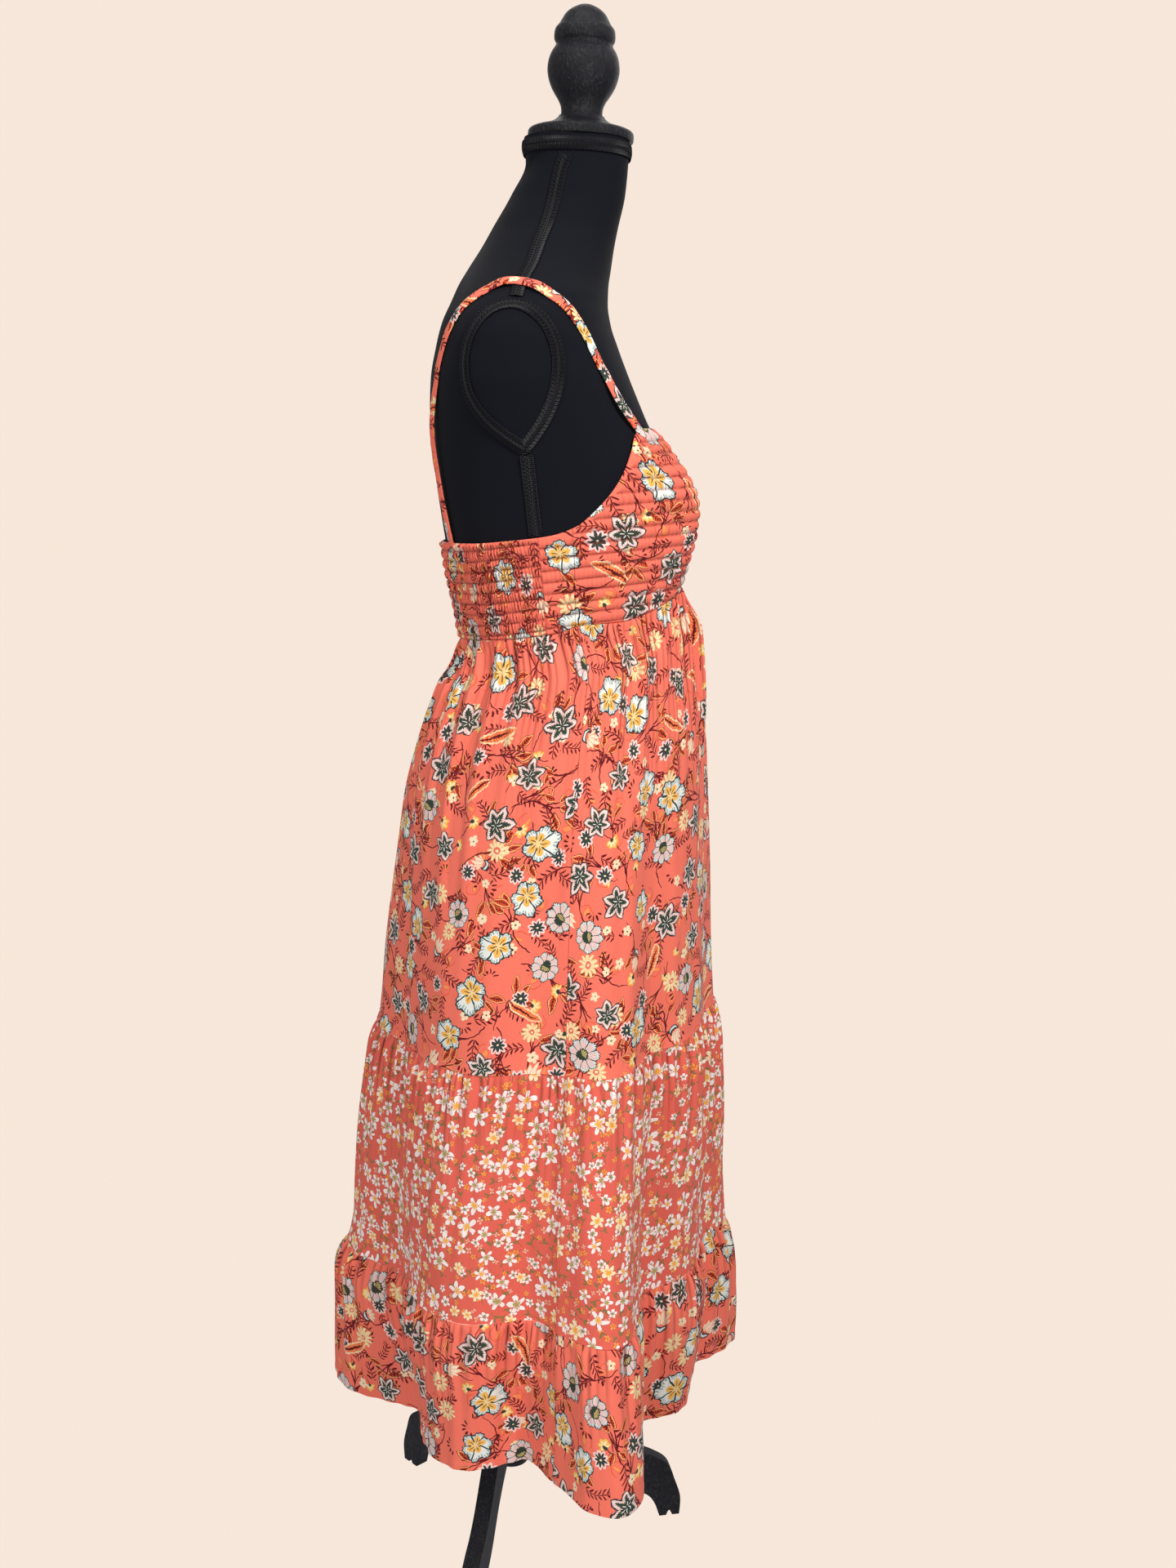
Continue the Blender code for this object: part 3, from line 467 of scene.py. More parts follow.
def put(name, points, faces, finish, node, sharp, cut=None, crease_shade=None):
    """A piece from its points and faces.

    cut holds each point's place on the flat cloth; the crease values give each point's painted shade,
    darker the deeper in a crease it lies.
    """
    mesh = bpy.data.meshes.new(name)
    mesh.from_pydata(points.reshape(-1, 3).tolist(), [], faces)
    layers = (("cut", "FLOAT_VECTOR", "vector", cut), ("crease_shade", "FLOAT", "value", crease_shade))
    for layer, kind, entry, values in layers:
        if values is not None:
            made = mesh.attributes.new(layer, kind, "POINT")
            made.data.foreach_set(entry, values.astype(np.float32).ravel())
    return add_piece(name, mesh, finish, node, sharp)


def grid_faces(rows, columns, first, flip):
    """The quads of a grid of points, rows running down and columns with the bearing."""
    corner = first + np.arange(rows - 1)[:, None] * columns + np.arange(columns - 1)[None, :]
    quads = np.stack([corner, corner + columns, corner + columns + 1, corner + 1], axis=-1)
    quads = quads.reshape(-1, 4)
    return (quads[:, ::-1] if flip else quads).tolist()


def tube_faces(count, sides, first=0):
    """The quads round a tube of rings of points, and a face over each end."""
    ring = first + np.arange(count - 1)[:, None] * sides
    turn = np.arange(sides)[None, :]
    corner = ring + turn
    after = ring + (turn + 1) % sides
    faces = np.stack([corner, after, after + sides, corner + sides], axis=-1).reshape(-1, 4).tolist()
    last = first + (count - 1) * sides
    return [*faces, list(range(first + sides - 1, first - 1, -1)), list(range(last, last + sides))]


def wall(node, outer, inner, finish, cut, crease_shade):
    """A closed thin wall. outer and inner are grids of points, the inner one with fewer rows."""
    rows, columns = outer.shape[:2]
    inside = inner.shape[0]
    first = rows * columns
    faces = grid_faces(rows, columns, 0, False) + grid_faces(inside, columns, first, True)
    last = (rows - 1) * columns
    last_inside = first + (inside - 1) * columns
    for c in range(columns - 1):
        faces.append((c, c + 1, first + c + 1, first + c))
        faces.append((last + c, last_inside + c, last_inside + c + 1, last + c + 1))
    for c, flip in ((0, False), (columns - 1, True)):
        for j in range(inside - 1):
            down = [(j * INSIDE_STEP + k) * columns + c for k in range(INSIDE_STEP, -1, -1)]
            side = [first + j * columns + c, first + (j + 1) * columns + c] + down
            faces.append(side[::-1] if flip else side)
    points = np.concatenate([outer, inner])
    cut = np.concatenate([cut, cut[::INSIDE_STEP]])
    # the painted crease shade, for the inner side too
    crease_shade = np.concatenate([crease_shade, crease_shade[::INSIDE_STEP]])
    return put(f"cloth_{node}", points, faces, finish, node, CLOTH_SHARP, cut, crease_shade)


def solid(level, z):
    """Points in space from level points and heights."""
    z = np.broadcast_to(z, level.shape)
    return np.stack([level.real, level.imag, z], axis=-1)


def flat_places(across, up):
    """Places on the flat cloth from how far across and up they are."""
    across, up = np.broadcast_arrays(across, up)
    return np.stack([across, up, np.zeros(up.shape)], axis=-1)


def lengths(points):
    """How far each point is along a line of points."""
    steps = np.linalg.norm(np.diff(points, axis=0), axis=1)
    return np.concatenate([[0.0], np.cumsum(steps)])


def unit(vectors):
    return vectors / np.linalg.norm(vectors, axis=-1, keepdims=True)


def smooth_line(points, steps):
    """A smooth curve through the points, with steps points for each stretch."""
    points = np.array(points, float)
    last = len(points) - 1
    found = []
    t = (np.arange(steps) / steps)[:, None]
    for i in range(last):
        near = [points[min(max(k, 0), last)] for k in (i - 1, i, i + 1, i + 2)]
        bend = (near[1] * 3 - near[0] - near[2] * 3 + near[3]) * t**3
        turn = (near[0] * 2 - near[1] * 5 + near[2] * 4 - near[3]) * t**2
        found.append((near[1] * 2 + (near[2] - near[0]) * t + turn + bend) / 2)
    return np.concatenate([*found, points[-1:]])


# Formulas in a material's nodes

class Value:
    """A number in a material's nodes, so that a formula reads as one."""

    def __init__(self, tree, socket):
        self.tree = tree
        self.socket = socket

    def do(self, operation, *others, clamp=False):
        entries = dict(enumerate((self, *others)))
        node = add_node(self.tree, "Math", entries, operation=operation, use_clamp=clamp)
        return Value(self.tree, node.outputs[0])

    __add__ = __radd__ = partialmethod(do, "ADD")
    __sub__ = partialmethod(do, "SUBTRACT")
    __rsub__ = partialmethod(do, "MULTIPLY_ADD", -1.0)
    __mul__ = __rmul__ = partialmethod(do, "MULTIPLY")
    __truediv__ = partialmethod(do, "DIVIDE")
    __pow__ = partialmethod(do, "POWER")
    __abs__ = partialmethod(do, "ABSOLUTE")
    sin = partialmethod(do, "SINE")
    cos = partialmethod(do, "COSINE")
    share = partialmethod(do, "FRACT")          # what is left after the whole number
    clamped = partialmethod(do, "ADD", 0.0, clamp=True)
    above = partialmethod(do, "GREATER_THAN")   # 1 where it is over the limit, and 0 elsewhere
    below = partialmethod(do, "LESS_THAN")
    least = partialmethod(do, "MINIMUM")
    most = partialmethod(do, "MAXIMUM")


def connect(tree, entry, value):
    if isinstance(value, Value):
        value = value.socket
    if isinstance(value, bpy.types.NodeSocket):
        tree.links.new(value, entry)
    else:
        entry.default_value = value


def add_node(tree, kind, entries=None, **settings):
    """A new node with its settings, and for each of its entries a value or what is linked to it."""
    made = tree.nodes.new(f"ShaderNode{kind}")
    for name, value in settings.items():
        setattr(made, name, value)
    for entry, value in (entries or {}).items():
        connect(tree, made.inputs[entry], value)
    return made


def tint(colour):
    """The red, green and blue of a screen colour from 0 to 255, as light."""
    light = []
    for channel in colour:
        share = channel / 255
        light.append(share / 12.92 if share <= 0.04045 else ((share + 0.055) / 1.055) ** 2.4)
    return (*light, 1.0)


def over(tree, below, colour, mask):
    """The colour painted over what is below, as far as the mask goes."""
    node = add_node(tree, "Mix", data_type="RGBA")
    entries = [entry for entry in node.inputs if entry.enabled]
    for entry, value in zip(entries, (mask, below, colour)):
        connect(tree, entry, tint(value) if isinstance(value, tuple) else value)
    return [out for out in node.outputs if out.enabled][0]


def noise_of(tree, place, scale, detail=2.0, roughness=0.5):
    entries = {"Vector": place, "Scale": scale, "Detail": detail, "Roughness": roughness}
    return Value(tree, add_node(tree, "TexNoise", entries).outputs[0])


def new_material(name, looks):
    """A material, its nodes and its shader with the looks given by the names of the shader's entries."""
    made = bpy.data.materials.new(name)
    made.use_nodes = True
    shader = made.node_tree.nodes["Principled BSDF"]
    for entry, value in looks.items():
        connect(made.node_tree, shader.inputs[entry], value)
    return made, made.node_tree, shader


def bump(tree, shader, height, strength, distance):
    node = add_node(tree, "Bump", {"Height": height, "Strength": strength, "Distance": distance})
    connect(tree, shader.inputs["Normal"], node.outputs[0])


def place_of(tree):
    return add_node(tree, "NewGeometry").outputs["Position"]


# The prints. All sizes in them are in millimetres on the flat cloth.

EDGE = 0.35     # how softly a printed edge ends
TEAL = (38, 56, 58)
GREEN = (48, 62, 50)
MAROON = (98, 14, 24)
ORANGE = (234, 92, 50)
PETAL = (250, 228, 220)
CREAM = (250, 222, 170)
GOLD = (250, 188, 92)
ICE = (214, 228, 224)


class Spot:
    """Where a point lies from the middle of the nearest motif, turned at random with it."""

    def __init__(self, x, y, pick):
        self.x = x
        self.y = y
        self.pick = pick
        self.radius = (x * x + y * y) ** 0.5
        self.angle = y.do("ARCTAN2", x)

    def around(self, count):
        """Along and across the nearest of count spokes, and the angle from it."""
        sector = 2 * math.pi / count
        within = ((self.angle / sector + 0.5).share() - 0.5) * sector
        return self.radius * within.cos(), abs(self.radius * within.sin()), within

    def moved(self, x, y, turn):
        """The same point as seen from a place beside the middle, turned by an angle."""
        dx = self.x - x
        dy = self.y - y
        cos = math.cos(turn)
        sin = math.sin(turn)
        return dx * cos + dy * sin, dy * cos - dx * sin

    def beside(self, x, y):
        return Spot(self.x - x, self.y - y, self.pick)


def spots(tree, place, cell, turn, shift, loose, spread):
    """Motifs scattered over the cloth, one for each cell, none of them the same way up."""
    moved = {"Rotation": (0.0, 0.0, math.radians(turn)), "Location": (shift, shift * 0.7, 0.0)}
    mapping = add_node(tree, "Mapping", {"Vector": place, **moved}).outputs[0]
    entries = {"Vector": mapping, "Scale": 1 / cell, "Randomness": loose}
    cells = add_node(tree, "TexVoronoi", entries, voronoi_dimensions="2D").outputs
    entries = {0: mapping, 1: cells["Position"]}
    from_middle = add_node(tree, "VectorMath", entries, operation="SUBTRACT").outputs[0]
    axes = add_node(tree, "SeparateXYZ", {0: from_middle}).outputs
    chance = add_node(tree, "SeparateColor", {0: cells["Color"]}).outputs
    turned, pick, size = (Value(tree, out) for out in chance)
    angle = turned * (2 * math.pi)
    cos = angle.cos()
    sin = angle.sin()
    small, large = spread
    growth = size * (large - small) + small
    x = Value(tree, axes[0]) / growth
    y = Value(tree, axes[1]) / growth
    return Spot(x * cos + y * sin, y * cos - x * sin, pick)


def inked(inside, soft=EDGE):
    """A mask from how far inside a shape a point is."""
    return inside.do("MULTIPLY_ADD", 1 / soft, 0.5, clamp=True)


def blade(along, across, start, length, width, root=0.6, tip=0.5):
    """How far inside a petal or leaf a point is: root and tip give how blunt its two ends are."""
    share = (along - start) / length
    held = share.clamped()
    peak = (root / (root + tip)) ** root * (tip / (root + tip)) ** tip
    beyond = abs(share - held) * length
    return (held**root) * ((1 - held) ** tip) * (width / peak) - across - beyond


def zigzag(value, period):
    return abs((value / period).share() - 0.5) * 2


def rays(spot, count, limit):
    """1 on each of count thin rays round the middle."""
    return zigzag(spot.angle, 2 * math.pi / count).above(limit)


def leaf_flower(spot):
    """Six pointed petals, longer on one side, with a feathered dark vein and a toothed dark edge."""
    along, across, _ = spot.around(6)
    longer = spot.angle.cos() * 0.17 + 0.93
    along = along / longer
    inside = blade(along, across, 1.0, 19.5, 5.2, 0.75, 0.85)
    teeth = zigzag(along + across, 2.4) * 1.4
    feathers = zigzag(along - across * 1.3, 2.8) * 1.9
    vein = blade(along, across, 0.0, 16.0, 2.9, 0.4, 0.8)
    return [
        (TEAL, inked(inside + 1.0 + teeth)),
        (PETAL, inked(inside - 0.1)),
        ((236, 196, 190), inked(1.6 - inside) * inked(inside - 0.2)),
        (GREEN, inked(vein + feathers - 0.6)),
        ((252, 246, 238), inked(blade(along, across, 1.5, 6.0, 0.4))),
    ]


def lobed_flower(spot):
    """Scalloped lobes, pale at the rim and golden at a heart that lies to one side."""
    heart = spot.beside(-4.0, 0.0)
    along, across, within = heart.around(5)
    lobes = abs((spot.angle * 3.0 + 0.4).sin()) * 4.2
    scallops = abs((spot.angle * 12.0).sin()) * 1.4
    reach = lobes + scallops + 12.6
    inside = reach - (spot.x * spot.x * 0.72 + spot.y * spot.y) ** 0.5
    border = (math.pi / 5 - abs(within)) * heart.radius
    lines = inked(0.8 - border) * inked(heart.radius - 4.5, 2.0)
    hatching = rays(heart, 37, 0.55)
    gold = blade(along, across, 0.0, 13.0, 3.8, 0.8, 0.6)
    return [
        (TEAL, inked(inside + 1.7)),
        (ICE, inked(inside)),
        ((236, 240, 234), inked(inside - 1.4, 2.0)),
        ((150, 170, 168), hatching * inked(3.6 - inside) * inked(inside - 0.4)),
        (GOLD, inked(gold, 1.0)),
        ((252, 214, 150), inked(4.4 - heart.radius, 3.0)),
        (TEAL, lines * inked(inside)),
        ((120, 100, 50), inked(blade(along, across, 1.5, 8.5, 0.6))),
    ]


def carnation(spot):
    """A fan of fringed petals with fine streaks, and a dark heart to one side."""
    heart = spot.beside(-5.0, 0.0)
    petals = abs((heart.angle * 4.5).sin())
    teeth = zigzag(heart.angle, 2 * math.pi / 46) * 2.0
    inside = petals * 3.2 + teeth + (heart.angle * 0.5).cos() * 4.5 + 11.0 - heart.radius
    border = inked(0.16 - petals, 0.1)
    return [
        (TEAL, inked(inside + 1.3)),
        (ICE, inked(inside)),
        ((240, 232, 224), inked(inside - 3.0, 2.0)),
        ((222, 140, 140), rays(heart, 58, 0.6) * inked(inside - 2.0) * inked(heart.radius - 6.5)),
        (TEAL, border * inked(inside) * inked(heart.radius - 6.0)),
        (GREEN, inked(6.6 - heart.radius + zigzag(heart.angle, 0.5) * 1.5)),
        ((246, 222, 140), rays(heart, 15, 0.55) * inked(heart.x) * inked(5.6 - heart.radius)),
    ]


def bud(spot):
    """A dark cup with a pale crescent, and a flame of five petals."""
    parts = []
    for turn, length in ((0.80, 13.0), (-0.80, 13.0), (0.40, 17.5), (-0.40, 17.5), (0.0, 21.0)):
        along, across = spot.moved(0.0, 0.0, turn)
        flame = blade(along, abs(across), 1.0, length, 3.2, 0.6, 0.8)
        parts += [((240, 140, 96), inked(flame)), ((251, 226, 198), inked(flame - 0.7))]
    cup = (7.4 - spot.beside(-1.5, 0.0).radius).least(spot.beside(3.4, 0.0).radius - 5.6)
    return [*parts, (TEAL, inked(cup)), (ICE, inked(cup - 1.6))]


def poppy(spot):
    """A small golden cup on a short stalk."""
    along, across, _ = spot.around(7)
    petal = blade(along, across, 0.0, 7.4, 2.4, 0.5, 0.4)
    front = inked(spot.x + 2.4)
    back_x, back_y = spot.moved(0.0, 0.0, math.pi)
    stalk = (0.55 - abs(back_y - back_x * back_x * 0.04)).least(back_x)
    return [
        (MAROON, inked(stalk.least(12.0 - back_x))),
        ((228, 112, 52), inked(petal + 0.5) * front),
        (GOLD, inked(petal) * front),
        ((252, 232, 180), inked(blade(along, across, 1.0, 4.5, 1.0)) * front),
        (GREEN, inked(2.2 - spot.beside(-1.6, 0.0).radius)),
    ]


def seeds(spot):
    """A few dark dashes in a fan."""
    along, across, _ = spot.around(11)
    dash = blade(along, across, 5.0, 6.0, 1.1, 0.6, 0.4)
    return [(MAROON, inked(dash) * inked(spot.x - 2.0))]


def scroll(spot):
    """A thin curl with a small leaf in it."""
    ring = 0.5 - abs(spot.radius - 8.5)
    along, across = spot.moved(-4.0, 0.0, 0.3)
    leaf = blade(along, abs(across), 0.0, 10.0, 2.2)
    return [
        (ORANGE, inked(ring) * inked(spot.x + 5.0, 2.0)),
        (ORANGE, inked(leaf + 0.6)),
        ((252, 150, 92), inked(leaf)),
    ]


SPRIG_STEMS = [
    # curve, length, leaf_length, leaf_width, lean
    (0.016, 22.0, 22.0, 4.4, 0.25), (-0.015, 20.0, 20.0, 4.2, -0.3), (0.002, 25.0, 18.0, 3.8, 0.1),
]


def sprig(spot):
    """Three curved stems from one root, with a feathered leaf at the end of each."""
    back_x, back_y = spot.moved(0.0, 0.0, math.pi)
    stems = (0.75 - abs(back_y - back_x * back_x * 0.02)).least(back_x).least(26.0 - back_x)
    parts = []
    for curve, length, leaf_length, leaf_width, lean in SPRIG_STEMS:
        off = abs(spot.y - spot.x * spot.x * curve)
        stems = stems.most((0.75 - off).least(spot.x).least(length - spot.x))
        turn = math.atan(2 * curve * length) + lean
        along, across = spot.moved(length, curve * length**2, turn)
        across = abs(across)
        leaf = blade(along, across, -1.0, leaf_length, leaf_width, 0.55, 0.75)
        ribs = zigzag(along - across * 1.1, 2.8).above(0.6)
        parts += [
            (MAROON, inked(leaf + 0.6)),
            ((252, 176, 116), inked(leaf)),
            (ORANGE, inked(leaf - 1.2)),
            (MAROON, ribs * inked(leaf - 1.6)),
            (MAROON, inked(blade(along, across, -1.0, leaf_length * 0.85, 0.6))),
        ]
    return [(MAROON, inked(stems)), *parts]


def fern(spot):
    """A bent stem with pairs of dark leaflets."""
    off = spot.y - spot.x * spot.x * 0.018
    ends = (spot.x + 14.0).least(19.0 - spot.x)
    stem = (0.45 - abs(off)).least(ends)
    slide = ((spot.x - abs(off) * 0.8) / 5.8).share() - 0.5
    leaflet = blade(abs(off), abs(slide) * 5.8, 0.8, 6.0, 1.15, 0.5, 0.7)
    return [(MAROON, inked(stem + 0.15)), (MAROON, inked(leaflet.least(ends) + 0.15))]


def feather(spot):
    """One long pale leaf with a scalloped edge and a dark barbed vein."""
    along = spot.x + 22.0
    across = abs(spot.y - spot.x * spot.x * 0.006)
    leaf = blade(along, across, 0.0, 44.0, 5.6, 0.45, 0.5)
    scallop = zigzag(along - across * 0.5, 3.4) * 1.3
    barbs = zigzag(along - across * 1.2, 3.4).above(0.55)
    vein = blade(along, across, 0.0, 38.0, 1.3, 0.5, 0.7) + zigzag(along - across, 3.4) - 0.5
    return [
        ((252, 216, 170), inked(leaf + scallop)),
        (ORANGE, inked(leaf - 1.2)),
        ((250, 160, 96), inked(leaf - 1.6) * barbs),
        (MAROON, inked(vein)),
    ]


def petalled(count, coats, hearts):
    """A motif of petals all alike. A coat has a colour, how far it goes beyond a blade, and a blade."""

    def draw(spot):
        along, across, _ = spot.around(count)
        parts = [(colour, blade(along, across, *shape) + beyond) for colour, beyond, shape in coats]
        parts += [(colour, radius - spot.radius) for colour, radius in hearts]
        return [(colour, inked(inside)) for colour, inside in parts]

    return draw


def flat_place(tree, size):
    """The place on the flat cloth in the print's own millimetres, wavering as a drawn line is."""
    cut = add_node(tree, "Attribute", attribute_name="cut").outputs["Vector"]
    place = add_node(tree, "VectorMath", {0: cut, "Scale": 1000.0 / size}, operation="SCALE").outputs[0]
    drift = add_node(tree, "TexNoise", {"Vector": place, "Scale": 0.11, "Detail": 1.0}).outputs["Color"]
    entries = {0: drift, 1: (5.0, 5.0, 0.0), 2: place}
    return add_node(tree, "VectorMath", entries, operation="MULTIPLY_ADD").outputs[0]


DITSY_SHADE = (196, 78, 72)
DITSY_WHITE = (252, 240, 236)


def ditsy(count, length, width, petal, heart):
    """A small flower, with its heart drawn out into the petals."""
    shape = (0.6, length, width, 0.7, 0.45)
    core = (0.2, length * 0.45, width * 0.4)
    coats = [(DITSY_SHADE, 0.4, shape), (petal, 0.0, shape), (heart, 0.0, core)]
    return petalled(count, coats, [(heart, 1.0)])


def ditsy_leaves(spot):
    """A bent olive stalk with two leaves."""
    stalk = (0.35 - abs(spot.y - spot.x * spot.x * 0.05)).least(4.5 - abs(spot.x))
    parts = [((132, 104, 60), inked(stalk))]
    for turn in (0.7, -0.6):
        along, across = spot.moved(0.5, 0.0, turn)
        parts.append(((140, 118, 70), inked(blade(along, abs(across), 0.0, 6.0, 1.1))))
    return parts


SIZES_ALIKE = (0.85, 1.15)
FLOWER_LAYERS = [
    # cell, turn, shift, looseness, spread of the sizes, the kinds and up to which pick each of them goes
    (41.0, 17.0, 5.0, 0.6, SIZES_ALIKE, [(scroll, 0.6)]),
    (82.0, 52.0, 11.0, 0.5, SIZES_ALIKE, [(sprig, 2.0)]),
    (70.0, -23.0, 31.0, 0.5, SIZES_ALIKE, [(sprig, 2.0)]),
    (33.0, 41.0, 12.0, 0.6, SIZES_ALIKE, [(fern, 0.62), (seeds, 0.80), (poppy, 2.0)]),
    (38.0, 8.0, 44.0, 0.8, SIZES_ALIKE, [(petalled(5, [
        ((236, 156, 108), 0.4, (0.4, 5.4, 2.0, 0.5, 0.35)),
        ((251, 226, 190), 0.0, (0.4, 5.4, 2.0, 0.5, 0.35)),
    ], [((110, 96, 50), 1.0)]), 0.45)]),
    (50.0, 63.0, 71.0, 0.6, SIZES_ALIKE, [(petalled(11, [
        ((226, 160, 104), 0.45, (2.2, 9.6, 1.55, 0.5, 0.35)),
        (CREAM, 0.0, (2.2, 9.6, 1.55, 0.5, 0.35)),
    ], [((230, 112, 92), 3.4), (CREAM, 1.5)]), 0.30), (petalled(9, [
        ((250, 216, 210), 0.0, (0.5, 10.6, 2.7, 0.5, 0.5)),
        ((50, 62, 58), 0.0, (0.4, 8.4, 1.5, 0.5, 0.6)),
    ], [((250, 228, 190), 1.2)]), 0.62)]),
    (60.0, 29.0, 90.0, 0.36, SIZES_ALIKE, [
        (leaf_flower, 0.30), (lobed_flower, 0.54), (carnation, 0.74), (bud, 0.88), (feather, 2.0),
    ]),
]
DITSY_LAYERS = [
    (13.5, 21.0, 3.0, 0.7, SIZES_ALIKE, [(ditsy_leaves, 0.7)]),
    (9.5, -14.0, 9.0, 0.8, SIZES_ALIKE, [
        (ditsy(4, 2.4, 0.9, (250, 196, 176), (236, 150, 90)), 0.2),
        (ditsy(5, 2.6, 1.0, (250, 168, 84), (236, 120, 50)), 0.45),
    ]),
    (18.0, 37.0, 15.0, 0.8, SIZES_ALIKE, [(ditsy(5, 4.4, 1.5, DITSY_WHITE, (150, 140, 90)), 0.5)]),
    (24.0, 11.0, 27.0, 0.45, (0.8, 1.45), [
        (ditsy(5, 7.8, 1.95, DITSY_WHITE, (176, 160, 84)), 0.42),
        (ditsy(5, 7.8, 2.1, DITSY_WHITE, (248, 178, 60)), 0.66),
        (ditsy(6, 6.4, 1.8, (253, 232, 190), (246, 172, 66)), 0.84),
    ]),
]
PRINTS = {
    # slot: size of the print, ground, layers from the lowest up
    "coral_print": (0.88, CORAL, FLOWER_LAYERS),
    "ditsy_print": (0.95, DITSY_GROUND, DITSY_LAYERS),
}


def coat_of(tree, size, ground, layers):
    """The print: each layer's motifs painted over what is below."""
    place = flat_place(tree, size)
    coat = ground
    for *layout, kinds in layers:
        spot = spots(tree, place, *layout)
        low = -1.0
        for motif, high in kinds:
            chosen = spot.pick.above(low) * spot.pick.below(high)
            for colour, mask in motif(spot):
                coat = over(tree, coat, colour, mask * chosen)
            low = high
    return coat


def cloth_material(slot):
    looks = {"Roughness": 0.82, "Sheen Weight": 0.06, "Sheen Roughness": 0.5, "Specular IOR Level": 0.25}
    made, tree, shader = new_material(slot, looks)
    # painted shade: the print darkened towards a dark red where a point lies deep in a crease
    deep = add_node(tree, "Attribute", attribute_name="crease_shade").outputs["Fac"]
    connect(tree, shader.inputs["Base Color"], over(tree, coat_of(tree, *PRINTS[slot]), PAINTED_CREASE_SHADE, deep))
    place = place_of(tree)
    crepe = noise_of(tree, place, 900.0) * 0.5 + noise_of(tree, place, 130.0, 3.0, 0.6)
    bump(tree, shader, crepe, 0.35, 0.0006)
    return made, slot


def jersey_material(slot):
    made, tree, shader = new_material(slot, {
        "Base Color": tint(BLACK_CLOTH), "Roughness": 0.9, "Sheen Weight": 0.04, "Sheen Roughness": 0.45,
        "Specular IOR Level": 0.12,
    })
    bump(tree, shader, noise_of(tree, place_of(tree), 1500.0), 0.3, 0.0003)
    return made, slot


def braid_material(slot):
    looks = {"Base Color": tint(BLACK_CORD), "Roughness": 0.5, "Specular IOR Level": 0.3}
    made, tree, shader = new_material(slot, looks)
    bump(tree, shader, noise_of(tree, place_of(tree), 2600.0, 1.0), 0.4, 0.0002)
    return made, slot


def wood_material(slot):
    """Black paint over open grain, rubbed a little lighter where the grain stands."""
    made, tree, shader = new_material(slot, {"Roughness": 0.36, "Specular IOR Level": 0.26})
    place = place_of(tree)
    stretched = add_node(tree, "Mapping", {"Vector": place, "Scale": (1.0, 1.0, 0.55)}).outputs[0]
    grain = noise_of(tree, stretched, 520.0, 5.0, 0.7)
    worn = noise_of(tree, place, 60.0, 3.0)
    rubbed = ((grain - 0.52) * 3.4 + (worn - 0.5) * 0.5).clamped()
    connect(tree, shader.inputs["Base Color"], over(tree, BLACK_WOOD, WOOD_WORN, rubbed * 0.6))
    bump(tree, shader, grain, 0.9, 0.0018)
    return made, slot


# The dress

def panel_grid(reach, start, end, columns, rows):
    """The bearings across a panel, short of its seams, and the shares of the way down it."""
    trim = math.degrees(SEAM_GAP / 2 / reach)
    bearing = np.linspace(start + trim, end - trim, columns + 1)[None, :]
    return bearing, np.linspace(0.0, 1.0, rows)[:, None]


def gather_wave(spec, side, start, columns):
    """The solids' gathers round a panel, eased from one to the next."""
    count = spec[side]
    number = np.arange(count + 1)
    heights = np.array(spec["wave"])[number % len(spec["wave"])] * between(GATHER_SPREAD, number + start)
    heights[[0, -1]] = 0.0
    at = np.linspace(0.0, count, columns + 1)
    low = np.minimum(np.floor(at).astype(int), count - 1)
    return heights[low] + (heights[low + 1] - heights[low]) * smoothstep(0.0, 1.0, at - low)


def pinches(along, below, pitch, table, seed):
    """Fine gathers under a seam, uneven in width, height and reach, and the painted shade in their
    valleys.
    """
    phase = along / pitch + PINCH["drift"] * ripple(along / pitch / PINCH["drift_pitches"], seed)
    crest = np.abs(np.sin(np.pi * phase))
    number = np.floor(phase)
    reach = between(PINCH["reach"], number + seed)
    tall = between(PINCH["tall"], 1.7 * number + seed + 3) * read(table, below / reach)[0]
    highest = max(height for _, height in table)
    # the second value is painted shade, darkest deep in each valley
    return crest * tall, (1 - crest) ** PINCH["depth"] * tall / highest


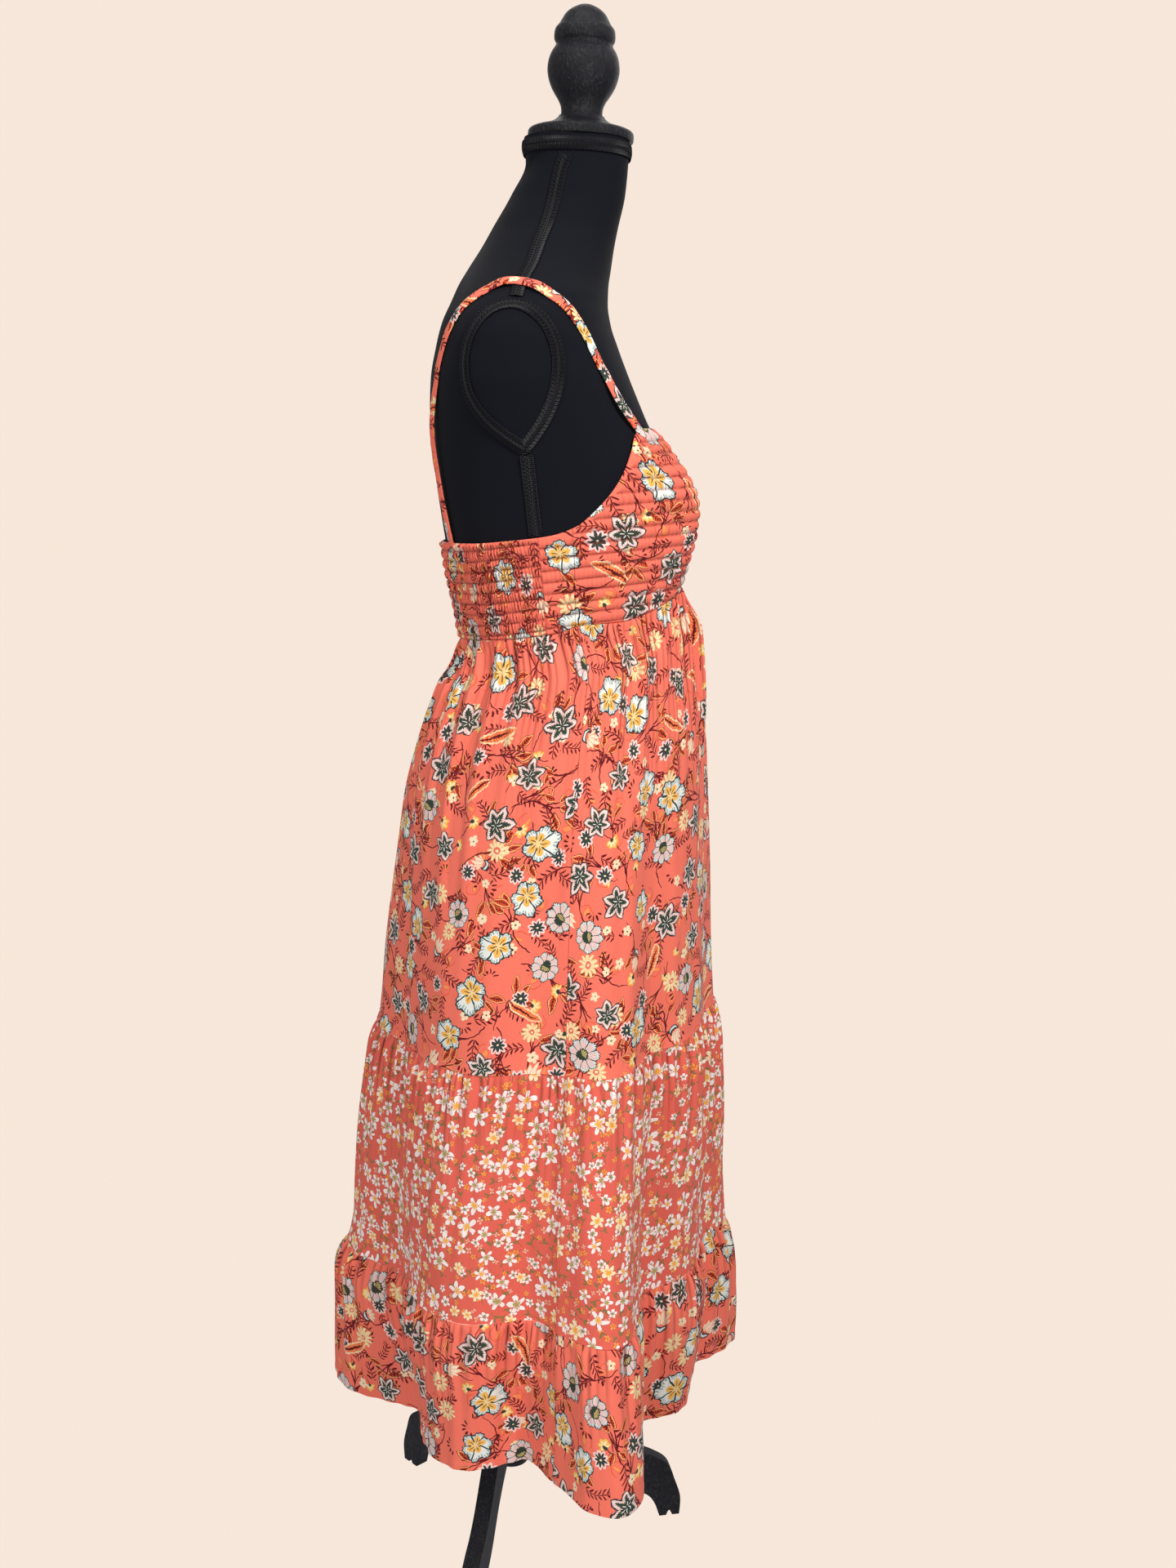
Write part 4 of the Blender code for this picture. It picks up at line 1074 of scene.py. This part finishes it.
def tier_shell(tier, side, start, end, finish):
    spec = TIERS[tier]
    columns = TIER_COLUMNS[side]
    bearing, run = panel_grid(SKIRT_SEAM_REACH, start, end, columns, spec["rows"])
    top = seam_level(spec["top"], bearing) - SEAM_GAP / 2
    bottom = seam_level(spec["bottom"], bearing) + (SEAM_GAP / 2 if spec["bottom"] != "hem" else 0)
    z = top + (bottom - top) * (ROW_SPREAD * run + (1 - ROW_SPREAD) * run**2)
    below = top - z
    normal = outward(lambda at: skirt_point(at, z), bearing)
    gathers = gather_wave(spec, side, start, columns)[None, :] * read(spec["gathers"], below)[0]
    base = skirt_point(bearing, z) + normal * gathers
    seed = {"front": 11.0, "back": 37.0}[side] + 5.0 * len(spec["wave"])
    widest = lengths(solid(base[-1], z[-1]))
    narrow = lengths(solid(base[0], z[0]))[None, :]
    # the fine gathers, and the painted shade in their valleys
    fine, crease_shade = pinches(narrow, below, spec["pitch"], spec["pinches"], seed)
    waver = ripple_over(widest / WAVER["width"], z / WAVER["length"], seed + 9)
    fine = fine + WAVER["height"] * waver * smoothstep(0.0, WAVER["from"], below)
    if spec["bottom"] == "hem":
        above_fold = bottom + HEM_FOLD["width"] - z
        fine = fine + HEM_FOLD["height"] * smoothstep(-HEM_FOLD["soft"], HEM_FOLD["soft"], above_fold)
    else:
        fine = fine + SEAM_RIDGE["height"] * np.exp(-(((z - bottom) / SEAM_RIDGE["width"]) ** 2))
    held = smoothstep(0.0, SIDE_HELD["width"], np.minimum(widest, widest[-1] - widest))
    outer = solid(base + normal * fine * (SIDE_HELD["least"] + (1 - SIDE_HELD["least"]) * held), z)
    inner = solid(base - normal * CLOTH * INSIDE_DEPTH, z)[::INSIDE_STEP]
    drop = lengths(solid(base.mean(axis=1), z.mean(axis=1)))
    cut = flat_places(widest + start * PRINT_SHIFT, z[0].mean() - drop[:, None])
    piece = wall(f"{tier}_{side}", outer, inner, finish, cut, crease_shade)


def bodice_relief(spec, bearing, z, along, top, bottom):
    """The rolls between the rows of shirring and the puckers across them, and the painted shade in their
    creases.
    """
    lowest = min(row[2] for row in BODICE)
    phase = (z - lowest - read(ROW_SWEEP, folded(bearing))[0]) / spec["pitch"]
    bow = np.abs(np.sin(np.pi * phase))
    roll = bow ** spec["fullness"]
    row = np.floor(phase)
    across = along / spec["pucker"] + spec["slant"] * phase
    across = across + SHIRRING["drift"] * ripple(across / SHIRRING["drift_puckers"] + 17.3 * row, 3.0)
    crest = np.abs(np.sin(np.pi * across))
    tall = between(SHIRRING["tall"], np.floor(across) + 31.0 * row)
    held = SHIRRING["least"] + (1 - SHIRRING["least"]) * roll
    relief = spec["height"] * roll + spec["pucker_height"] * crest * tall * held
    # painted shade in the valleys between the rolls and between the puckers
    crease_shade = spec["row_shade"] * (1 - bow) ** SHIRRING["stitch"]
    crease_shade = crease_shade + spec["pucker_shade"] * tall * (1 - crest) ** SHIRRING["depth"]
    if spec["band"]:
        in_band = 1 - smoothstep(spec["band"] - SHIRRING["band_soft"], spec["band"], top - z)
        relief = relief * (1 - in_band) + SHIRRING["band_height"] * in_band
        crease_shade = crease_shade * (1 - in_band)
    edge = smoothstep(0.0, SHIRRING["top_soft"], top - z)
    edge = edge * smoothstep(0.0, SHIRRING["bottom_soft"], z - bottom)
    least = SHIRRING["at_edge"]
    return relief * (least + (1 - least) * edge), np.clip(crease_shade, 0.0, 1.0) * edge


def bodice_shell(side, start, end, finish):
    spec = BODICE_PANELS[side]
    bearing, run = panel_grid(BODICE_SEAM_REACH, start, end, spec["columns"], spec["rows"])
    top = bodice_edge(bearing, "top")
    bottom = bodice_edge(bearing, "bottom") + SEAM_GAP / 2
    z = top + (bottom - top) * run
    inner = body_point(bearing, z, CUP_BUST, EASE)
    normal = outward(lambda at: body_point(at, z, CUP_BUST, EASE), bearing)
    along = lengths(solid(inner[spec["rows"] // 2], BUST_LEVEL))
    share = smoothstep(*GATHERED_FROM, folded(bearing))
    rolls, gathers = (
        bodice_relief(panel, bearing, z, along[None, :], top, bottom) for panel in BODICE_PANELS.values()
    )
    relief, crease_shade = (plain + (dense - plain) * share for plain, dense in zip(rolls, gathers))
    # a painted shade line where the rolls end and the dense gathers begin
    crease_shade = np.maximum(crease_shade, SIDE_SHADE_LINE * 4 * share * (1 - share))
    fullness = 1 + (spec["fullness_across"] - 1) * share[0]
    steps = np.diff(along) * (fullness[1:] + fullness[:-1]) / 2
    width = np.concatenate([[0.0], np.cumsum(steps)])
    outer = solid(inner + normal * (CLOTH * BODICE_DEPTH + relief), z)
    from_side = width if side == "front" else width - width[-1]
    cut = flat_places(PRINT_START + from_side, z)
    piece = wall(f"bodice_{side}", outer, solid(inner, z)[::INSIDE_STEP], finish, cut, crease_shade)


# What lies on the form

def form_piece(finish):
    """The padded body, finer than its solid, with a flat underside and a leaning top."""
    columns = FORM_COLUMNS
    levels = np.concatenate([np.linspace(*FORM_LEVELS[0]), np.linspace(*FORM_LEVELS[1])[1:]])
    bearing = np.arange(columns)[None, :] * 360.0 / columns
    z = np.repeat(levels[:, None], columns, axis=1)
    level = body_point(bearing, z, FORM_BUST)
    z[0] += lean_rise(level[0].imag)
    *quads, top, bottom = tube_faces(len(levels), columns)
    faces = [[a, d, c, b] for a, b, c, d in quads] + [top[::-1], bottom[::-1]]
    return put("padded_form", solid(level, z), faces, finish, "form_body", CLOTH_SHARP)


def neck_centre_y():
    _, _, front, back = BODY[0]
    return (back - front) / 2


def lean_rise(y):
    """How much higher the leaning neck is at y than at its middle."""
    return math.tan(NECK_LEAN) * (y - neck_centre_y())


def tree_of(obj):
    mesh = obj.data
    return BVHTree.FromPolygons([v.co for v in mesh.vertices], [p.vertices for p in mesh.polygons])


def on_form(tree, points, gap, spans=False):
    """The points put at gap from the form, or further off if they span it, and the way it faces."""
    places = []
    normals = []
    for point, room in zip(points, np.broadcast_to(gap, len(points))):
        near, normal, _, _ = tree.find_nearest(Vector(point))
        off = (Vector(point) - near).dot(normal)
        places.append(near + normal * max(off if spans else 0.0, float(room)))
        normals.append(normal)
    return np.array(places), np.array(normals)


def on_side(side, rows):
    return [(side * out, -front, z) for out, front, z in rows]


def side_hit(tree, side, front, z):
    place, _, _, _ = tree.ray_cast(Vector((side * OUTSIDE, -front, z)), Vector((-side, 0.0, 0.0)))
    return tuple(place)


def strap(tree, side_name, side, finish):
    """A flat tube of cloth, a little fuller along its middle."""
    ends = []
    for bearing in STRAP_BEARINGS:
        top = float(bodice_edge(np.array(bearing), "top"))
        at = body_point(np.array(side * bearing), np.array(top), CUP_BUST, EASE)
        ends.append((float(at.real), float(at.imag), top - STRAP_TUCK))
    route = smooth_line([ends[0], *on_side(side, STRAP_ROUTE), ends[1]], STRAP_STEPS)
    away = np.abs(-route[:, 1] - CROSSING_FRONT)
    over_braid = BRAID_GAP + BRAID_RISE - STRAP_GAP
    gap = STRAP_GAP + over_braid * (1 - smoothstep(*STRAP_CROSSING, away))
    centre, normal = on_form(tree, route, gap, spans=True)
    centre[[0, -1]] = route[[0, -1]]
    across = unit(np.cross(unit(np.gradient(centre, axis=0)), normal))
    run = lengths(centre)
    shares = np.cos(np.linspace(np.pi, 0.0, STRAP_COLUMNS))
    low = centre[:, None] + across[:, None] * shares[:, None] * STRAP_WIDTH / 2
    swell = STRAP_EDGE + (1 - STRAP_EDGE) * np.sqrt(np.maximum(1 - shares**2, 0.0))[None, :]
    pucker = 1 + STRAP_PUCKER["height"] * ripple(run / STRAP_PUCKER["pitch"], 5.0)[:, None]
    high = low + normal[:, None] * (STRAP_THICK * swell * pucker)[..., None]
    rings = np.concatenate([low, high[:, ::-1]], axis=1)
    faces = tube_faces(*rings.shape[:2])
    if side < 0:
        faces = [face[::-1] for face in faces]
    round_it = np.concatenate([shares, shares[::-1]]) * STRAP_WIDTH / 2
    cut = flat_places(round_it + STRAP_PRINT * side, run[:, None])
    name = f"strap_{side_name}"
    piece = put(f"cloth_{name}", rings, faces, finish, name, TUBE_SHARP, cut)


def cord_tube(centre, facing, radius, sides):
    """Rings of points round a line."""
    along = unit(np.gradient(centre, axis=0))
    across = unit(np.cross(along, facing))
    up = np.cross(across, along)
    turns = 2 * np.pi * np.arange(sides)[:, None] / sides
    return centre[:, None] + radius * (np.cos(turns) * up[:, None] + np.sin(turns) * across[:, None])


def gimp(name, tree, route, finish, closed=False):
    """Gimp braid: on each side two cords that loop outwards and lean in to a ridge, over a tape."""
    if closed:
        route = np.concatenate([route, route[:1]])
    centre, normal = on_form(tree, route, BRAID_GAP)
    tangent = np.gradient(centre, axis=0)
    if closed:
        tangent[0] = tangent[-1] = tangent[0] + tangent[-1]
    run = lengths(centre)
    end = run[-1]

    def laid(s, t, n):
        """Points from how far along, across and above the route they are, and the way up there."""
        s = s % end if closed else np.clip(s, 0.0, end)
        at, up, ahead = (
            np.stack([np.interp(s, run, line[:, k]) for k in range(3)], axis=1)
            for line in (centre, normal, tangent)
        )
        up = unit(up)
        sideways = unit(np.cross(unit(ahead), up))
        return at + sideways * t[:, None] + up * n[:, None], up

    loops = max(int(round(end / BRAID["pitch"])), 2)
    pitch = end / loops
    phase = np.linspace(0.0, 2 * np.pi * loops, loops * BRAID["steps"] + 1)
    radius = BRAID["cord"]
    middle, swing = BRAID["reach"]
    rise, wave = BRAID["rise"]
    tubes = []
    for side in (-1, 1):
        for strand in (0.0, 0.5):
            turn = phase + 2 * np.pi * strand
            s = pitch * phase / (2 * np.pi) + BRAID["loop"] * pitch * np.sin(turn + BRAID["loop_turn"])
            t = side * BRAID_WIDTH / 2 * (middle - swing * np.cos(turn))
            n = radius * (rise + wave * np.sin(turn + BRAID["rise_turn"]))
            n = n + BRAID["tape_thick"] + strand * radius
            tubes.append(cord_tube(*laid(s, t, n), radius, BRAID["sides"]))
    steps = np.minimum(np.linspace(0.0, end, len(run) * 2), end - 1e-6)
    flat = np.ones(len(steps))
    tubes.append(np.stack([
        laid(steps, flat * t * BRAID["tape"] / 2, flat * n * BRAID["tape_thick"])[0]
        for t, n in ((-1, 0), (1, 0), (1, 1), (-1, 1))
    ], axis=1))
    faces = []
    first = 0
    for tube in tubes:
        faces += tube_faces(*tube.shape[:2], first)
        first += tube.shape[0] * tube.shape[1]
    points = np.concatenate([tube.reshape(-1, 3) for tube in tubes])
    put(f"gimp_{name}", points, faces, finish, f"braid_{name}", TUBE_SHARP)


def armplate_outline():
    outline = []
    for k in range(ARMPLATE["points"]):
        turn = 2 * math.pi * k / ARMPLATE["points"]
        across = math.sin(turn)
        forward = 0.0
        if math.cos(turn) >= 0:
            rise = ARMPLATE["up"] * math.cos(turn)
        else:
            depth = (1 - abs(across)) ** ARMPLATE["bluntness"]
            rise = -ARMPLATE["down"] * depth
            forward = ARMPLATE["tip_forward"] * depth**3
        outline.append((ARMPLATE["half_width"] * across + forward, rise))
    return outline


def braids(tree, finish):
    count = BRAID_POINTS["neck"]
    level = body_point(np.arange(count) * 360.0 / count, np.full(count, NECK_BRAID_LEVEL), FORM_BUST)
    gimp("neck", tree, solid(level, NECK_BRAID_LEVEL + lean_rise(level.imag)), finish, closed=True)
    start = ARMPLATE["z"] - ARMPLATE["down"] - BRAID_WIDTH / 2
    for side_name, side in (("left", 1), ("right", -1)):
        seam = smooth_line(on_side(side, SHOULDER_SEAM), BRAID_POINTS["shoulder"])
        gimp(f"shoulder_{side_name}", tree, seam, finish)
        ring = [
            side_hit(tree, side, ARMPLATE["front"] + across, ARMPLATE["z"] + rise)
            for across, rise in armplate_outline()
        ]
        gimp(f"armplate_{side_name}", tree, np.array(ring), finish, closed=True)
        fronts = np.linspace(*SIDE_BRAID_FRONT, BRAID_POINTS["side"])
        levels = np.linspace(start, SIDE_BRAID_TO, BRAID_POINTS["side"])
        down = [side_hit(tree, side, front, z) for front, z in zip(fronts, levels)]
        gimp(f"side_{side_name}", tree, np.array(down), finish)


# Wood

def turned(node, profile, matrix, finish, smooth=3):
    """A turned piece from its profile of radius and height, closed at both ends."""
    line = smooth_line(profile, smooth)
    radius = np.maximum(line[:, :1], LEAST_RADIUS)
    turns = 2 * np.pi * np.arange(TURNED_STEPS)[None, :] / TURNED_STEPS
    height = np.repeat(line[:, 1:], TURNED_STEPS, axis=1)
    rings = np.stack([radius * np.cos(turns), radius * np.sin(turns), height], axis=-1)
    points = np.array([matrix @ Vector(p) for p in rings.reshape(-1, 3)])
    put(f"turned_{node}", points, tube_faces(*rings.shape[:2]), finish, node, WOOD_SHARP)


def wood(finish):
    base = BODY[0][0] - math.tan(NECK_LEAN) * NECK_FORWARD
    neck = Matrix.Translation((0.0, neck_centre_y() - NECK_FORWARD, base))
    neck = neck @ Matrix.Rotation(NECK_LEAN, 4, "X")
    turned("neck_cap", NECK_CAP, neck, finish)
    turned("finial", FINIAL, neck, finish)
    turned("hub", HUB, Matrix.Translation((*STAND_AXIS, 0.0)), finish, smooth=1)
    pole_piece(finish)
    for name, bearing in LEG_BEARINGS.items():
        leg_piece(name, bearing, finish)


def pole_piece(finish):
    low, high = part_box("pole")
    turns = 2 * np.pi * np.arange(POLE_STEPS) / POLE_STEPS
    round_it = np.stack([np.cos(turns), np.sin(turns), 0 * turns], axis=-1) * POLE_RADIUS
    points = np.concatenate([round_it + [*STAND_AXIS, low.z], round_it + [*POLE_TOP, high.z]])
    put("turned_pole", points, tube_faces(2, POLE_STEPS), finish, "pole", WOOD_SHARP)


def leg_outline():
    spans = zip(LEG_CORNERS, LEG_CORNERS[1:])
    parts = [smooth_line(LEG_OUTLINE[start:end + 1], 6)[:-1] for start, end in spans]
    return np.concatenate([*parts, [LEG_OUTLINE[LEG_CORNERS[-1]]]])


def leg_piece(name, bearing, finish):
    """A sawn leg with its edges eased."""
    curve = bpy.data.curves.new(name, "CURVE")
    curve.dimensions = "2D"
    curve.fill_mode = "BOTH"
    curve.extrude = LEG_THICK / 2 - LEG_BEVEL
    curve.bevel_depth = LEG_BEVEL
    curve.bevel_resolution = 2
    curve.offset = -LEG_BEVEL
    outline = leg_outline()
    spline = curve.splines.new("POLY")
    spline.points.add(len(outline) - 1)
    for point, place in zip(spline.points, outline):
        point.co = (*place, 0.0, 1.0)
    spline.use_cyclic_u = True
    holder = link(name, curve)
    mesh = bpy.data.meshes.new_from_object(holder.evaluated_get(bpy.context.evaluated_depsgraph_get()))
    bpy.data.objects.remove(holder)
    stood = Matrix.Rotation(math.radians(90), 4, "X")
    turn = Matrix.Rotation(math.radians(bearing - 90), 4, "Z") @ stood
    mesh.transform(Matrix.Translation((*STAND_AXIS, 0.0)) @ turn)
    mesh.materials.clear()
    add_piece(f"sawn_{name}", mesh, finish, name, WOOD_SHARP)


# The studio

def camera():
    data = bpy.data.cameras.new("camera")
    data.sensor_width = SENSOR
    data.lens = SENSOR * FOCAL_PIXELS / LONG_SIDE_PIXELS
    seen = link("camera", data)
    seen.location = CAMERA_PLACE
    seen.rotation_euler = (math.radians(90 - CAMERA_PITCH), 0.0, math.radians(-90))
    bpy.context.scene.camera = seen


def lamp(name, place, height, size, power):
    data = bpy.data.lights.new(name, "AREA")
    data.size = size
    data.energy = power
    data.color = tint(WARM_WHITE)[:3]
    obj = link(name, data)
    obj.location = place
    obj.rotation_euler = (Vector((0, 0, height)) - Vector(place)).to_track_quat("-Z", "Y").to_euler()


def studio():
    scene = bpy.context.scene
    scene.view_settings.view_transform = "Standard"
    world = bpy.data.worlds.new("studio")
    world.use_nodes = True
    scene.world = world
    tree = world.node_tree
    sky = tree.nodes["Background"]
    connect(tree, sky.inputs["Color"], tint(DAYLIGHT))
    connect(tree, sky.inputs["Strength"], SKY_STRENGTH)
    backdrop = add_node(tree, "Background", {"Color": tint(BACKDROP)})
    seen = add_node(tree, "LightPath").outputs["Is Camera Ray"]
    both = add_node(tree, "MixShader", {0: seen, 1: sky.outputs[0], 2: backdrop.outputs[0]})
    connect(tree, tree.nodes["World Output"].inputs["Surface"], both.outputs[0])
    made, _, _ = new_material("floor", {
        "Base Color": tint((0, 0, 0)), "Roughness": 1.0, "Specular IOR Level": 0.0,
        "Emission Color": tint(BACKDROP), "Emission Strength": 1.0,
    })
    mesh = bpy.data.meshes.new("floor")
    corners = [(x * FLOOR_HALF, y * FLOOR_HALF, 0) for x, y in ((-1, -1), (1, -1), (1, 1), (-1, 1))]
    mesh.from_pydata(corners, [], [(0, 1, 2, 3)])
    mesh.materials.append(made)
    floor = link("floor", mesh)
    floor.visible_diffuse = False
    floor.visible_glossy = False
    for name, settings in LAMPS.items():
        lamp(name, *settings)


def dress(coral, ditsy, form_tree):
    side = BODICE_SIDE_SEAM
    bodice_shell("front", -side, side, coral)
    bodice_shell("back", side, 360 - side, coral)
    strap(form_tree, "left", 1, coral)
    strap(form_tree, "right", -1, coral)
    side = SKIRT_SIDE_SEAM
    for tier in TIERS:
        finish = ditsy if tier == "tier2" else coral
        tier_shell(tier, "front", -side, side, finish)
        tier_shell(tier, "back", side, 360 - side, finish)


def main():
    camera()
    studio()
    form_tree = tree_of(form_piece(jersey_material("black_jersey")))
    dress(cloth_material("coral_print"), cloth_material("ditsy_print"), form_tree)
    braids(form_tree, braid_material("black_braid"))
    wood(wood_material("black_wood"))


main()
